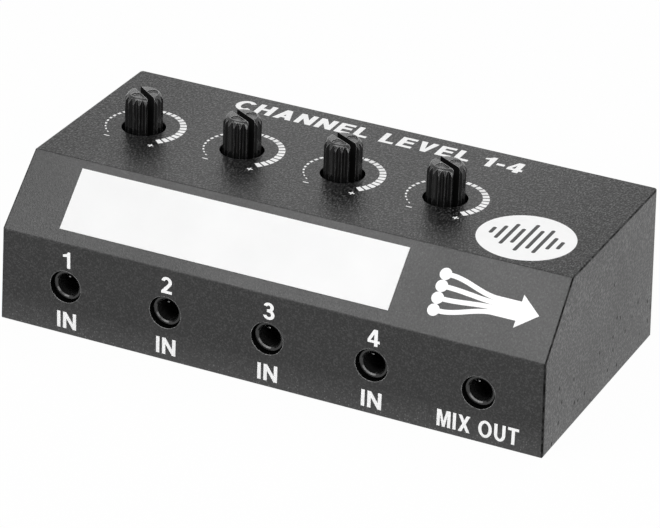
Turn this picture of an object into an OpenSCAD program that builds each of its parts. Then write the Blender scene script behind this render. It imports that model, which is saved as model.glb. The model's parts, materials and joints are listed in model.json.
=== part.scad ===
// Desk-top audio mixer: four level controls, four input jacks and one output jack.
// Millimetres, +Z up, front panel towards -Y, origin under the middle of the base.

/* [Housing] */
// Distance between neighbouring channels
pitch = 17.1; // [16.4:0.1:22]
// Distance from the outer jacks to the ends of the box
end_margin = 11; // [9:0.1:20]
// Outside depth at the foot of the walls
body_d = 44.2; // [40:0.2:60]
// Height of the top panel above the table
body_h = 25; // [23:0.5:34]
// Height of the upright front panel, where the 45 degree slope begins
front_h = 15.4; // [13:0.2:17]
// Wall thickness of the moulding
wall = 2; // [1.6:0.1:2.6]
// How far each end wall leans in over the full height
side_draft = 0.74; // [0:0.02:1]
// How far the back wall leans in over the full height
back_draft = 0.4; // [0:0.02:1]
// Radius of the moulded edges of top, slope and front
edge_r = 0.3; // [0.2:0.05:0.8]
// Radius of the two upright corners at the front
front_corner_r = 0.4; // [0.3:0.1:1.6]
// Radius of the two upright corners at the back
back_corner_r = 1.2; // [1:0.1:2.6]
// Radius of the bottom edges of the two end walls
foot_r = 0.4; // [0.2:0.05:0.85]
// Radius of the bottom edges of the front and the back
sill_r = 0.2; // [0.1:0.05:0.5]
// Sideways offset of the row of channels
row_shift = 0.4; // [-0.6:0.1:0.6]

/* [Bottom cover] */
// Thickness of the bottom cover
cover_t = 1.8; // [1.5:0.1:2.5]
// Width of the step in the wall that takes the cover
rebate = 1; // [0.7:0.1:1.2]
// Gap all round between cover and step
cover_gap = 0.15; // [0.1:0.05:0.3]
// Diameter of the bosses for the cover screws
boss_d = 6; // [5.4:0.1:7]
// Distance of the rear bosses from the end and back faces
boss_in = 4.7; // [4.4:0.1:5]
// Distance of the front bosses behind the front face
boss_setback = 8.6; // [7:0.1:10]

/* [Screws] */
// Shank diameter of the cover screws
cover_screw_d = 2.2; // [2:0.1:2.6]
// Length of the cover screws
cover_screw_l = 8.9; // [6:0.1:12]
// How far the heads of the cover screws sit inside the cover
head_sink = 0.1; // [0.05:0.05:0.3]
// Shank diameter of the board screws
board_screw_d = 1.7; // [1.5:0.1:2]
// Reach of the board screws into their posts
board_screw_l = 5; // [3:0.1:8]
// Head height of the board screws
board_head_h = 1.1; // [0.8:0.1:1.3]
// Gap round a shank in its pilot hole
pilot_gap = 0.05; // [0.02:0.01:0.1]
// Gap round a shank where it passes through a plate
pass_gap = 0.2; // [0.1:0.05:0.4]
// Length of the cross recess in the heads
recess_l = 2.1; // [1.6:0.1:2.4]
// Width of the cross recess in the heads
recess_w = 0.55; // [0.4:0.05:0.7]
// Depth of the cross recess in the heads
recess_h = 0.6; // [0.3:0.1:0.7]

/* [Control shafts] */
// Distance of the control shafts behind the front panel
pot_setback = 24.75; // [23:0.05:26]
// Diameter of the plain shaft
shaft_d = 6; // [5.6:0.1:6.6]
// Height the shaft stands out of the top panel
shaft_stand = 5.8; // [4:0.1:14]
// Diameter of the hole for each shaft in the top panel
shaft_hole_d = 7; // [6.8:0.1:9]
// Number of teeth on the shaft end
teeth = 18; // [14:1:24]
// Depth of one tooth
tooth_h = 0.45; // [0.3:0.05:0.6]
// Length of the toothed end
toothed_l = 8.6; // [7:0.1:12]
// Width of the flat tip of one tooth
tip_w = 0.19; // [0.1:0.01:0.3]
// Radial step from the plain shaft in to the tooth tips
tip_relief = 0.03; // [0.02:0.01:0.1]
// Width of the slot that splits the shaft
slot_w = 1.1; // [0.8:0.1:1.4]
// Depth of the slot
slot_l = 7.6; // [5:0.1:8.4]
// Radial width of the chamfer at the shaft end
shaft_cham = 0.75; // [0.4:0.05:1]
// Length of the chamfer at the shaft end
shaft_cham_l = 1; // [0.6:0.1:1.6]
// Diameter of the moulded dimple in each half of the shaft end
dimple_d = 1.36; // [1:0.02:1.4]
// Depth of the dimple
dimple_h = 0.12; // [0.05:0.01:0.3]
// Full turn of each control between its stops, degrees
travel = 300; // [240:5:300]
// Setting of control 1 above its low stop, degrees
rest_1 = 7; // [0:1:240]
// Setting of control 2 above its low stop, degrees
rest_2 = 1; // [0:1:240]
// Setting of control 3 above its low stop, degrees
rest_3 = 0; // [0:1:240]
// Setting of control 4 above its low stop, degrees
rest_4 = 1; // [0:1:240]

/* [Control cases] */
// Height of the case above the board
case_h = 4.4; // [4:0.1:6]
// Side and back wall of the case
case_wall = 0.6; // [0.5:0.1:1]
// Front wall of the case, over the terminals
case_front_wall = 1.2; // [1:0.1:1.6]
// Thickness of the case floor
floor_t = 1.3; // [1:0.1:1.5]
// Radial reach of the stop lug on the rotor
lug_h = 0.7; // [0.5:0.1:1]
// Half angle of the stop lug, degrees
lug_half = 10; // [6:1:14]
// Angle left between lug and stop at the end of the travel, degrees
stop_gap = 0.7; // [0.5:0.1:2]
// Thickness of the rotor disc
disc_t = 1.2; // [0.8:0.1:1.4]
// Radial step from the shaft out to the rotor disc
disc_step = 0.2; // [0.1:0.1:0.4]
// Free space between the turning pieces and the case
free_gap = 0.3; // [0.2:0.05:0.4]
// Diameter of the pivot under the rotor
pivot_d = 2.4; // [2:0.1:2.6]
// Length of the pivot inside the case floor
pivot_l = 0.6; // [0.4:0.1:0.9]
// Running gap between shaft and collar and round the pivot
run_gap = 0.06; // [0.03:0.01:0.09]
// Thickness of the resistance track
track_t = 0.2; // [0.1:0.05:0.3]
// Width of the resistance track
track_w = 1.55; // [1.2:0.05:1.7]
// Half angle of the gap in the track, degrees
track_half = 20; // [10:1:25]
// Sheet thickness of the wiper
wiper_t = 0.2; // [0.15:0.05:0.3]
// Width of the wiper fingers
finger_w = 0.8; // [0.5:0.1:1]
// Gap left under the wiper fingers
wiper_gap = 0.06; // [0.04:0.01:0.1]

/* [Control frames] */
// Thickness of the frame plate over the case
frame_t = 0.5; // [0.4:0.1:0.8]
// Height of the collar that guides the shaft
collar_h = 2.5; // [1.5:0.1:4]
// Wall of the collar
collar_wall = 0.6; // [0.4:0.1:1]
// Thickness of the frame legs
leg_t = 0.4; // [0.3:0.05:0.6]
// Width of the frame legs
leg_w = 3.2; // [2:0.1:4]
// Distance between the terminals
terminal_pitch = 2.5; // [2.2:0.1:3]
// Reach of the terminals in front of the case
terminal_out = 1.2; // [1:0.1:1.6]
// Height of the terminals above the board
terminal_z = 0.7; // [0.3:0.1:0.9]

/* [Jacks] */
// Bore of the jack for a 3.5 mm plug
jack_bore_d = 3.6; // [3.55:0.05:3.8]
// Outside diameter of the jack nose
nose_d = 5; // [4.6:0.1:6]
// Gap between nose and panel hole
nose_gap = 0.15; // [0.1:0.05:0.4]
// How far the nose stops short of the panel face
nose_recess = 0.75; // [0.4:0.05:1.2]
// Flat left on each side of the rounded lip of the nose
lip_flat = 0.02; // [0.01:0.01:0.05]
// Depth of the jack body behind the panel
jack_l = 13; // [12.6:0.1:16]
// Width of the jack body
jack_w = 8; // [7:0.1:9]
// Height of the jack body, with its axis in the middle
jack_h = 6; // [5.6:0.1:7]
// End wall that closes the bore
jack_end = 0.6; // [0.4:0.1:1]
// Sheet thickness of the contacts
contact_t = 0.4; // [0.3:0.05:0.5]
// Width of the contact pads
contact_w = 1; // [0.8:0.1:1.2]
// Length of the contact pads
contact_l = 1.6; // [1.2:0.1:2]
// Gap between contacts and plug, and round the contacts in their slots
contact_gap = 0.1; // [0.05:0.05:0.2]
// Distance of the sleeve contact behind the panel
sleeve_y = 3; // [2:0.1:5]
// Length of the open slot in front of each contact
slot_lead = 0.6; // [0.3:0.1:0.8]
// Distance of the tip contact behind the panel
tip_y = 9.7; // [8:0.1:11]

/* [Circuit board] */
// Board thickness
board_t = 1.6; // [1.2:0.1:2]
// Clear height under the board
under_gap = 1.7; // [1.5:0.1:3]
// Gap between the board and the end walls
board_side = 2; // [1:0.1:3]
// Gap between the board and the front wall
board_gap = 0.3; // [0.2:0.1:0.6]
// Board left behind the rear posts
board_rim = 0.7; // [0.4:0.1:2]
// Diameter of the posts that carry the board
post_d = 5; // [4.4:0.1:5.4]
// Distance of the posts in front of and behind the shafts
post_y = 8; // [7.8:0.1:8.2]
// Width of the pins that pass through the board
pin_w = 0.9; // [0.7:0.1:1]
// Length of the pins under the board
pin_out = 0.9; // [0.5:0.1:1.2]
// Gap round pins, legs and bosses in the board
hole_gap = 0.15; // [0.1:0.05:0.3]

/* [Resistors] */
// Diameter of the resistors at their ends
res_d = 2.4; // [2:0.1:2.6]
// Length of a resistor
res_l = 6.2; // [5:0.1:7]
// Depth of the waist between the ends
res_waist = 0.2; // [0.1:0.05:0.3]
// Length of each thick end
res_end = 1.4; // [1:0.1:2]
// Diameter of the leads
lead_d = 0.56; // [0.4:0.02:0.7]
// Distance between the two lead holes of a resistor
lead_span = 10; // [9:0.1:10.4]
// Radius of the bend in a lead
lead_bend = 0.7; // [0.5:0.1:1]
// Distance of the resistors behind the control cases
res_back = 1.9; // [1.6:0.1:2.6]

/* [Write-on label] */
// Length of the label
label_l = 54.7; // [40:0.1:60]
// Distance of the label from the left end of the box
label_left = 9.6; // [4:0.1:14]
// Slope left bare below the label
label_low = 2.1; // [1:0.1:3]
// Slope left bare above the label
label_high = 1.4; // [1:0.1:3]
// Thickness of the label
label_t = 0.15; // [0.1:0.05:0.3]

/* [Hidden] */
$fn = 64;
body_w = 4 * pitch + 2 * end_margin;
front_y = -body_d / 2;
inner_y = front_y + wall;
run = body_h - front_h;
slope_l = run * sqrt(2);
side_lean = side_draft / body_h;
back_lean = back_draft / body_h;
board_bot = cover_t + under_gap;
board_top = board_bot + board_t;
jack_z = board_top + jack_h / 2;
pot_y = front_y + pot_setback;
cavity_r = shaft_d / 2 + disc_step + lug_h + free_gap;
disc_r = shaft_d / 2 + disc_step;
pivot_r = pivot_d / 2;
case_x = cavity_r + case_wall;
case_front = cavity_r + case_front_wall;
disc_top = case_h - free_gap;
disc_bot = disc_top - disc_t;
stop_half = 180 - travel / 2 - lug_half - stop_gap;
track_out = cavity_r - free_gap;
track_in = track_out - track_w;
ring_in = pivot_r + free_gap;
ring_out = track_in - free_gap;
finger_z = floor_t + track_t + wiper_gap;
shaft_top = body_h + shaft_stand - board_top;
pin_drop = board_t + pin_out;
terminal_t = 0.75 * contact_t;
terminal_y = case_front + terminal_out - terminal_t / 2;
pin_hole_d = norm([pin_w, contact_t]) + 2 * hole_gap;
nose_l = wall - nose_recess;
bore_r = jack_bore_d / 2;
contact_r = bore_r + contact_gap;
res_y = pot_y + case_x + res_back;
res_z = board_top + res_d / 2;
head_h = cover_screw_d / 2;
post_x = 1.5 * pitch;
// Cut that runs clear past a face
over = 1;
// Crossing angle of a rounded edge with its faces
soft = 7;

charcoal = [0.22, 0.22, 0.23];
black = [0.05, 0.05, 0.05];
steel = [0.76, 0.76, 0.78];
brass = [0.8, 0.65, 0.35];

function channel_x(i) = row_shift + (i - 2) * pitch;
function unit(v) = v / norm(v);
function boss_at(s, rear) = rear
  ? [s * (body_w / 2 - boss_in), body_d / 2 - boss_in]
  : [row_shift + s * post_x, front_y + boss_setback];

// Takes off the edge between two faces with outward normals a and b through the point p, to radius r
module edge_round(p, a, b, len, r) {
  m = unit(a + b);
  e = unit(cross(a, b));
  n = cross(e, m);
  half = acos(a * b) / 2;
  reach = 2 * r + over;
  multmatrix([[m[0], n[0], e[0], p[0]], [m[1], n[1], e[1], p[1]], [m[2], n[2], e[2], p[2]], [0, 0, 0, 1]])
    linear_extrude(height = len, center = true)
      translate([-r * cos(soft) / cos(half), 0]) difference() {
        polygon(reach * [[0, 0], [cos(half), -sin(half)], [2 * cos(half), 0], [cos(half), sin(half)]]);
        circle(r = r);
      }
}

// The wedge of the housing, set in by o from the outside and cut off level at the height z0
module wedge(o, z0) {
  q = o * (sqrt(2) - 1);
  z1 = body_h - o;
  x0 = body_w / 2 - o - side_lean * z0;
  x1 = body_w / 2 - o - side_lean * z1;
  intersection() {
    rotate([90, 0, 90]) linear_extrude(height = body_w + 2 * over, center = true)
      polygon([[front_y + o, z0], [front_y + o, front_h - q], [front_y + run + q, z1],
               [body_d / 2 - o - back_lean * z1, z1], [body_d / 2 - o - back_lean * z0, z0]]);
    rotate([90, 0, 0]) linear_extrude(height = body_d + 2 * over, center = true)
      polygon([[-x0, z0], [x0, z0], [x1, z1], [-x1, z1]]);
  }
}

module end_edges() {
  end = unit([1, 0, side_lean]);
  slope = unit([0, -1, 1]);
  back = unit([0, 1, back_lean]);
  mid = (front_h + body_h) / 2;
  x = body_w / 2;
  edge_round([x, front_y, 0], end, [0, -1, 0], 4 * body_h, front_corner_r);
  edge_round([x - side_lean * mid, front_y + run / 2, mid], end, slope, 2 * body_h, edge_r);
  edge_round([x - side_lean * body_h, 0, body_h], end, [0, 0, 1], 2 * body_d, edge_r);
  edge_round([x, body_d / 2, 0], end, back, 4 * body_h, back_corner_r);
  edge_round([x, 0, 0], end, [0, 0, -1], 2 * body_d, foot_r);
}

module long_edges() {
  slope = unit([0, -1, 1]);
  back = unit([0, 1, back_lean]);
  len = body_w + 2 * over;
  edge_round([0, front_y, front_h], [0, -1, 0], slope, len, edge_r);
  edge_round([0, front_y + run, body_h], slope, [0, 0, 1], len, edge_r);
  edge_round([0, body_d / 2 - back_draft, body_h], [0, 0, 1], back, len, edge_r);
  edge_round([0, front_y, 0], [0, -1, 0], [0, 0, -1], len, sill_r);
  edge_round([0, body_d / 2, 0], [0, 0, -1], back, len, sill_r);
}

// Places its children at the four cover screws
module at_bosses() {
  for (s = [-1, 1], rear = [false, true]) translate(boss_at(s, rear)) children();
}

// Places its children at the four board screws
module at_posts() {
  for (s = [-1, 1], t = [-1, 1]) translate([row_shift + s * post_x, pot_y + t * post_y]) children();
}

module upper_housing() {
  color(charcoal) difference() {
    union() {
      difference() {
        wedge(0, 0);
        end_edges();
        mirror([1, 0, 0]) end_edges();
        long_edges();
        wedge(wall, -over);
        translate([rebate - body_w / 2, front_y + rebate, -over])
          cube([body_w - 2 * rebate, body_d - 2 * rebate, cover_t + over]);
      }
      intersection() {
        union() {
          at_bosses() translate([0, 0, cover_t]) cylinder(d = boss_d, h = body_h);
          at_posts() translate([0, 0, board_top]) cylinder(d = post_d, h = body_h);
        }
        wedge(wall / 2, 0);
      }
    }
    at_bosses() translate([0, 0, -over])
      cylinder(d = cover_screw_d + 2 * pilot_gap, h = cover_screw_l + 2 * over);
    at_posts() cylinder(d = board_screw_d + 2 * pilot_gap, h = board_top + board_screw_l + over);
    for (i = [0:3]) translate([channel_x(i), pot_y, body_h - wall - over])
      cylinder(d = shaft_hole_d, h = wall + 2 * over);
    for (i = [0:4]) translate([channel_x(i), inner_y + over / 2, jack_z])
      rotate([90, 0, 0]) cylinder(d = nose_d + 2 * nose_gap, h = wall + over);
  }
}

// Countersunk screw head with its wide end down, let into the cover
module screw_head() {
  translate([0, 0, head_sink]) cylinder(r1 = cover_screw_d / 2 + head_h, r2 = cover_screw_d / 2, h = head_h);
}

module bottom_cover() {
  inset = rebate + cover_gap;
  color(charcoal) difference() {
    translate([inset - body_w / 2, front_y + inset, 0])
      cube([body_w - 2 * inset, body_d - 2 * inset, cover_t]);
    at_bosses() {
      cylinder(d = cover_screw_d + 2 * pass_gap, h = cover_t + over);
      translate([0, 0, -over]) cylinder(r = cover_screw_d / 2 + head_h, h = head_sink + over);
      screw_head();
    }
  }
}

// Cross recess cut upwards from the height z0
module cross_recess(z0) {
  for (a = [0, 90]) rotate([0, 0, a]) translate([-recess_l / 2, -recess_w / 2, z0 - over])
    cube([recess_l, recess_w, recess_h + over]);
}

module cover_screws() {
  color(steel) at_bosses() difference() {
    union() {
      screw_head();
      translate([0, 0, head_sink]) cylinder(d = cover_screw_d, h = cover_screw_l);
    }
    cross_recess(head_sink);
  }
}

module board_screws() {
  color(steel) at_posts() translate([0, 0, board_bot]) difference() {
    union() {
      translate([0, 0, -board_head_h]) cylinder(r = board_screw_d, h = board_head_h);
      translate([0, 0, -board_head_h / 2])
        cylinder(d = board_screw_d, h = board_head_h / 2 + board_t + board_screw_l);
    }
    cross_recess(-board_head_h);
  }
}

module circuit_board() {
  width = body_w - 2 * (wall + board_side);
  y0 = inner_y + board_gap;
  y1 = pot_y + post_y + post_d / 2 + board_rim;
  h = board_t + 2 * over;
  color([0.16, 0.36, 0.2]) difference() {
    translate([-width / 2, y0, board_bot]) cube([width, y1 - y0, board_t]);
    translate([0, 0, board_bot - over]) {
      at_posts() cylinder(d = board_screw_d + 2 * pass_gap, h = h);
      at_bosses() cylinder(d = boss_d + 2 * pass_gap, h = h);
      for (i = [0:4]) translate([channel_x(i), inner_y]) {
        translate([-(jack_w + contact_t) / 2, sleeve_y]) cylinder(d = pin_hole_d, h = h);
        translate([(jack_w + contact_t) / 2, tip_y]) cylinder(d = pin_hole_d, h = h);
      }
      for (i = [0:3]) translate([channel_x(i), pot_y]) {
        for (k = [-1:1]) translate([k * terminal_pitch, -terminal_y]) cylinder(d = pin_hole_d, h = h);
        for (s = [0, 1]) mirror([s, 0, 0]) translate([case_x - hole_gap, -leg_w / 2 - hole_gap])
          cube([leg_t + 2 * hole_gap, leg_w + 2 * hole_gap, h]);
      }
      for (i = [0:3], s = [-1, 1]) translate([channel_x(i) + s * lead_span / 2, res_y])
        cylinder(d = lead_d + 2 * hole_gap, h = h);
    }
  }
}

module write_on_label() {
  color([0.96, 0.96, 0.95]) translate([label_left - body_w / 2, front_y, front_h])
    rotate([45, 0, 0]) translate([0, label_low, 0])
      cube([label_l, slope_l - label_low - label_high, label_t]);
}

module mixing_resistors() {
  color([0.72, 0.6, 0.42]) for (i = [0:3])
    translate([channel_x(i), res_y, res_z]) rotate([0, 90, 0]) {
      cylinder(d = res_d - 2 * res_waist, h = res_l - res_end, center = true);
      for (s = [-1, 1]) translate([0, 0, s * (res_l - res_end) / 2])
        cylinder(d = res_d, h = res_end, center = true);
    }
}

module resistor_leads() {
  end = lead_span / 2;
  drop = pin_drop + res_d / 2;
  color(steel) for (i = [0:3], s = [0, 1]) translate([channel_x(i), res_y, res_z]) mirror([s, 0, 0]) {
    translate([res_l / 2, 0, 0]) rotate([0, 90, 0]) cylinder(d = lead_d, h = end - lead_bend - res_l / 2);
    translate([end - lead_bend, 0, -lead_bend]) rotate([90, 0, 0])
      rotate_extrude(angle = 90) translate([lead_bend, 0]) circle(d = lead_d);
    translate([end, 0, -drop]) cylinder(d = lead_d, h = drop - lead_bend);
  }
}

// Places a jack: its origin is on the bore axis at the inside of the front wall
module at_jack(i) {
  translate([channel_x(i), inner_y, jack_z]) children();
}

module jack_body(i) {
  lip = (nose_d / 2 - bore_r) / 2;
  slot = contact_w + 2 * contact_gap;
  slot_y = contact_l / 2 + contact_gap;
  slot_long = 2 * slot_y + slot_lead;
  color(black) at_jack(i) difference() {
    union() {
      translate([-jack_w / 2, 0, -jack_h / 2]) cube([jack_w, jack_l, jack_h]);
      rotate([90, 0, 0]) rotate_extrude() {
        translate([bore_r - lip, -over]) square([3 * lip, nose_l - lip + over]);
        translate([bore_r + lip, nose_l - lip]) circle(r = lip - lip_flat);
      }
    }
    translate([0, jack_l - jack_end, 0]) rotate([90, 0, 0]) cylinder(r = bore_r, h = jack_l + nose_l);
    translate([0, tip_y - slot_y - slot_lead, -slot / 2]) cube([jack_w, slot_long, slot]);
    translate([-jack_w, sleeve_y - slot_y - slot_lead, -slot / 2]) cube([jack_w, slot_long, slot]);
  }
}

// Contact of a jack on the +X side: a pad beside the bore, and a strip down the wall to its pin
module side_contact() {
  side = jack_w / 2;
  foot = contact_t;
  translate([contact_r, -contact_l / 2, -contact_w / 2])
    cube([side + contact_t - contact_r, contact_l, contact_w]);
  translate([side, -contact_l / 2, foot - jack_h / 2]) cube([contact_t, contact_l, jack_h / 2 - foot]);
  translate([side, -pin_w / 2, -jack_h / 2 - pin_drop]) cube([contact_t, pin_w, pin_drop + jack_h / 2]);
}

module jack_sleeve(i) {
  color(brass) at_jack(i) mirror([1, 0, 0]) translate([0, sleeve_y, 0]) side_contact();
}

module jack_tip(i) {
  color(brass) at_jack(i) translate([0, tip_y, 0]) side_contact();
}

// Places a level control: its origin is on the shaft axis at the face of the board
module at_pot(i) {
  translate([channel_x(i), pot_y, board_top]) children();
}

// Turns the rotor a degrees up from the low stop; the middle of the travel points to the back
module turned(a) {
  rotate([0, 0, travel / 2 - a]) children();
}

// Wedge-shaped prism of the given half angle about +Y, past the radius r
module sector(half, r, z0, z1) {
  far = 2 * r;
  translate([0, 0, z0]) linear_extrude(height = z1 - z0)
    polygon([[0, 0], [far * tan(half), far], [-far * tan(half), far]]);
}

module ring(r0, r1, z0, z1) {
  translate([0, 0, z0]) difference() {
    cylinder(r = r1, h = z1 - z0);
    translate([0, 0, -over]) cylinder(r = r0, h = z1 - z0 + 2 * over);
  }
}

module pot_case(i) {
  stop_r = disc_r + free_gap;
  stop_z = disc_bot - free_gap;
  color(black) at_pot(i) difference() {
    translate([-case_x, -case_front, 0]) cube([2 * case_x, case_front + case_x, case_h]);
    difference() {
      translate([0, 0, floor_t]) cylinder(r = cavity_r, h = case_h);
      rotate([0, 0, 180]) intersection() {
        ring(stop_r, cavity_r + over, stop_z, case_h + over);
        sector(stop_half, cavity_r + over, 0, case_h + 2 * over);
      }
    }
    translate([0, 0, floor_t - pivot_l - wiper_gap]) cylinder(r = pivot_r + run_gap, h = floor_t);
  }
}

module pot_track(i) {
  color(black) at_pot(i) {
    difference() {
      ring(track_in, track_out, floor_t, floor_t + track_t);
      rotate([0, 0, 180]) sector(track_half, track_out, 0, case_h);
    }
    ring(ring_in, ring_out, floor_t, floor_t + track_t);
  }
}

module pot_frame(i) {
  hole = shaft_d / 2 + run_gap;
  color(steel) at_pot(i) {
    difference() {
      union() {
        translate([-case_x - leg_t, -case_front, case_h])
          cube([2 * (case_x + leg_t), case_front + case_x, frame_t]);
        translate([0, 0, case_h]) cylinder(r = hole + collar_wall, h = frame_t + collar_h);
      }
      cylinder(r = hole, h = shaft_top);
    }
    for (s = [0, 1]) mirror([s, 0, 0])
      translate([case_x, -leg_w / 2, -pin_drop]) cube([leg_t, leg_w, pin_drop + case_h + frame_t]);
  }
}

module pot_terminals(i) {
  out = case_front + terminal_out;
  color(steel) at_pot(i) for (k = [-1:1]) translate([k * terminal_pitch - pin_w / 2, -out, 0]) {
    translate([0, 0, terminal_z]) cube([pin_w, terminal_out, terminal_t]);
    translate([0, 0, -pin_drop]) cube([pin_w, terminal_t, pin_drop + terminal_z + terminal_t]);
  }
}

// Point at the radius r and the angle a
function polar(r, a) = r * [cos(a), sin(a)];

// Outline of the toothed end: a groove point and two tip points for each tooth
function tooth_outline(r, step, flat) = [for (k = [0:teeth - 1], j = [-1:1])
  j < 0 ? polar(r - tooth_h, (k - 0.5) * step) : polar(r, k * step + (2 * j - 1) * flat)];

module pot_shaft(i, a) {
  r = shaft_d / 2;
  tip_r = r - tip_relief;
  end_r = r - shaft_cham;
  plain_top = shaft_top - toothed_l;
  dimple_y = (slot_w / 2 + end_r) / 2;
  color(black) at_pot(i) turned(a) difference() {
    union() {
      translate([0, 0, floor_t - pivot_l]) cylinder(r = pivot_r, h = disc_top - floor_t + pivot_l);
      translate([0, 0, disc_bot]) cylinder(r = disc_r, h = disc_t);
      intersection() {
        ring(disc_r - disc_step, disc_r + lug_h, disc_bot, disc_top);
        sector(lug_half, cavity_r, 0, case_h);
      }
      translate([0, 0, disc_bot]) cylinder(r = r, h = plain_top - disc_bot);
      intersection() {
        translate([0, 0, plain_top - over]) linear_extrude(height = toothed_l + over)
          polygon(tooth_outline(tip_r, 360 / teeth, asin(tip_w / 2 / tip_r)));
        cylinder(r1 = end_r + shaft_top * shaft_cham / shaft_cham_l, r2 = end_r, h = shaft_top);
      }
    }
    translate([-shaft_d, -slot_w / 2, shaft_top - slot_l]) cube([2 * shaft_d, slot_w, slot_l + over]);
    for (s = [-1, 1]) translate([0, s * dimple_y, shaft_top - dimple_h])
      cylinder(d = dimple_d, h = dimple_h + over);
  }
}

module pot_wiper(i, a) {
  plate_out = disc_r - 2.5 * wiper_t;
  root = plate_out - wiper_t;
  tip = (track_in + track_out) / 2 + wiper_t;
  ring_mid = (ring_in + ring_out) / 2;
  color(brass) at_pot(i) turned(a) {
    difference() {
      ring(ring_in, plate_out, disc_bot - wiper_t, disc_bot);
      rotate([0, 0, 180]) sector(2 * track_half, plate_out, 0, case_h);
    }
    rotate([90, 0, 90]) linear_extrude(height = finger_w, center = true) {
      polygon([[root, disc_bot - wiper_t], [root, disc_bot], [plate_out, disc_bot],
               [tip, finger_z + wiper_t], [tip, finger_z], [tip - 2 * wiper_t, finger_z]]);
      polygon([[ring_mid, disc_bot], [ring_mid + wiper_t, disc_bot], [ring_mid + wiper_t / 2, finger_z],
               [ring_mid - wiper_t / 2, finger_z]]);
    }
  }
}

module jack_1_body() { jack_body(0); }
module jack_1_sleeve() { jack_sleeve(0); }
module jack_1_tip() { jack_tip(0); }
module jack_2_body() { jack_body(1); }
module jack_2_sleeve() { jack_sleeve(1); }
module jack_2_tip() { jack_tip(1); }
module jack_3_body() { jack_body(2); }
module jack_3_sleeve() { jack_sleeve(2); }
module jack_3_tip() { jack_tip(2); }
module jack_4_body() { jack_body(3); }
module jack_4_sleeve() { jack_sleeve(3); }
module jack_4_tip() { jack_tip(3); }
module jack_out_body() { jack_body(4); }
module jack_out_sleeve() { jack_sleeve(4); }
module jack_out_tip() { jack_tip(4); }
module pot_1_case() { pot_case(0); }
module pot_1_track() { pot_track(0); }
module pot_1_frame() { pot_frame(0); }
module pot_1_terminals() { pot_terminals(0); }
module pot_1_shaft() { pot_shaft(0, rest_1); }
module pot_1_wiper() { pot_wiper(0, rest_1); }
module pot_2_case() { pot_case(1); }
module pot_2_track() { pot_track(1); }
module pot_2_frame() { pot_frame(1); }
module pot_2_terminals() { pot_terminals(1); }
module pot_2_shaft() { pot_shaft(1, rest_2); }
module pot_2_wiper() { pot_wiper(1, rest_2); }
module pot_3_case() { pot_case(2); }
module pot_3_track() { pot_track(2); }
module pot_3_frame() { pot_frame(2); }
module pot_3_terminals() { pot_terminals(2); }
module pot_3_shaft() { pot_shaft(2, rest_3); }
module pot_3_wiper() { pot_wiper(2, rest_3); }
module pot_4_case() { pot_case(3); }
module pot_4_track() { pot_track(3); }
module pot_4_frame() { pot_frame(3); }
module pot_4_terminals() { pot_terminals(3); }
module pot_4_shaft() { pot_shaft(3, rest_4); }
module pot_4_wiper() { pot_wiper(3, rest_4); }

upper_housing();
bottom_cover();
cover_screws();
circuit_board();
board_screws();
write_on_label();
mixing_resistors();
resistor_leads();
jack_1_body();
jack_1_sleeve();
jack_1_tip();
jack_2_body();
jack_2_sleeve();
jack_2_tip();
jack_3_body();
jack_3_sleeve();
jack_3_tip();
jack_4_body();
jack_4_sleeve();
jack_4_tip();
jack_out_body();
jack_out_sleeve();
jack_out_tip();
pot_1_case();
pot_1_track();
pot_1_frame();
pot_1_terminals();
pot_1_shaft();
pot_1_wiper();
pot_2_case();
pot_2_track();
pot_2_frame();
pot_2_terminals();
pot_2_shaft();
pot_2_wiper();
pot_3_case();
pot_3_track();
pot_3_frame();
pot_3_terminals();
pot_3_shaft();
pot_3_wiper();
pot_4_case();
pot_4_track();
pot_4_frame();
pot_4_terminals();
pot_4_shaft();
pot_4_wiper();
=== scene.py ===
# %% [markdown]
# # A desk-top audio mixer, dressed for the camera
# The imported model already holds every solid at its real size: the moulded box, the jacks, the board and
# the four controls that turn. This lesson adds what a solid can't show: the grain of the plastic, the
# white printing on the panels, the finer shape of the shaft ends, and the light of a small photo studio.

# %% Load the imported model
import json

import bpy
import numpy as np
from mathutils import Matrix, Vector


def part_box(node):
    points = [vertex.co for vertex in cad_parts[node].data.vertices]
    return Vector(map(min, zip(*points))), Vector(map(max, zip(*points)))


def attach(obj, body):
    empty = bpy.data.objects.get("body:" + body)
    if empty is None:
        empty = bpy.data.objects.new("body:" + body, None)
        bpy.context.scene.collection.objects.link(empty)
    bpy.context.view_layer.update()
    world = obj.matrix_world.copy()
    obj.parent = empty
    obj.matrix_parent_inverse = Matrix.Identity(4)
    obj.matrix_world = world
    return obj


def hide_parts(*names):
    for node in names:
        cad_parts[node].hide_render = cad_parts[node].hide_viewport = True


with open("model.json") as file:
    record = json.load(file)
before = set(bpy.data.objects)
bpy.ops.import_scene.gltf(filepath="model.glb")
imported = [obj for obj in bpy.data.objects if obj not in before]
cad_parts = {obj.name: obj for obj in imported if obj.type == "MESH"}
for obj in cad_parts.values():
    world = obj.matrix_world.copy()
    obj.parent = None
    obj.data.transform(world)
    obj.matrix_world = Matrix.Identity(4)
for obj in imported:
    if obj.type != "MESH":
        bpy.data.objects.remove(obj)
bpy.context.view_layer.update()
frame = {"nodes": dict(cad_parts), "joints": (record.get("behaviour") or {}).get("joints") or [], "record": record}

# %% [markdown]
# ## The three panels
# Everything printed on the box lies on one of three flat panels: the top, the 45 degree slope and the
# upright front. It could be placed with object rotations, but then each print would have its own tilted
# axes. Instead a panel is written as an origin and three directions (right, up, outwards), and a print is
# worked out in the panel's own flat coordinates and carried over with one matrix product. The places come
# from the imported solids: the housing gives the faces, and the label lies on the slope, so it gives its plane.

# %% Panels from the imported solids
MM = 0.001


def node_points(name):
    """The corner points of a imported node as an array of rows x, y, z."""
    vertices = frame["nodes"][name].data.vertices
    points = np.empty(3 * len(vertices))
    vertices.foreach_get("co", points)
    return points.reshape(-1, 3)


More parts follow.
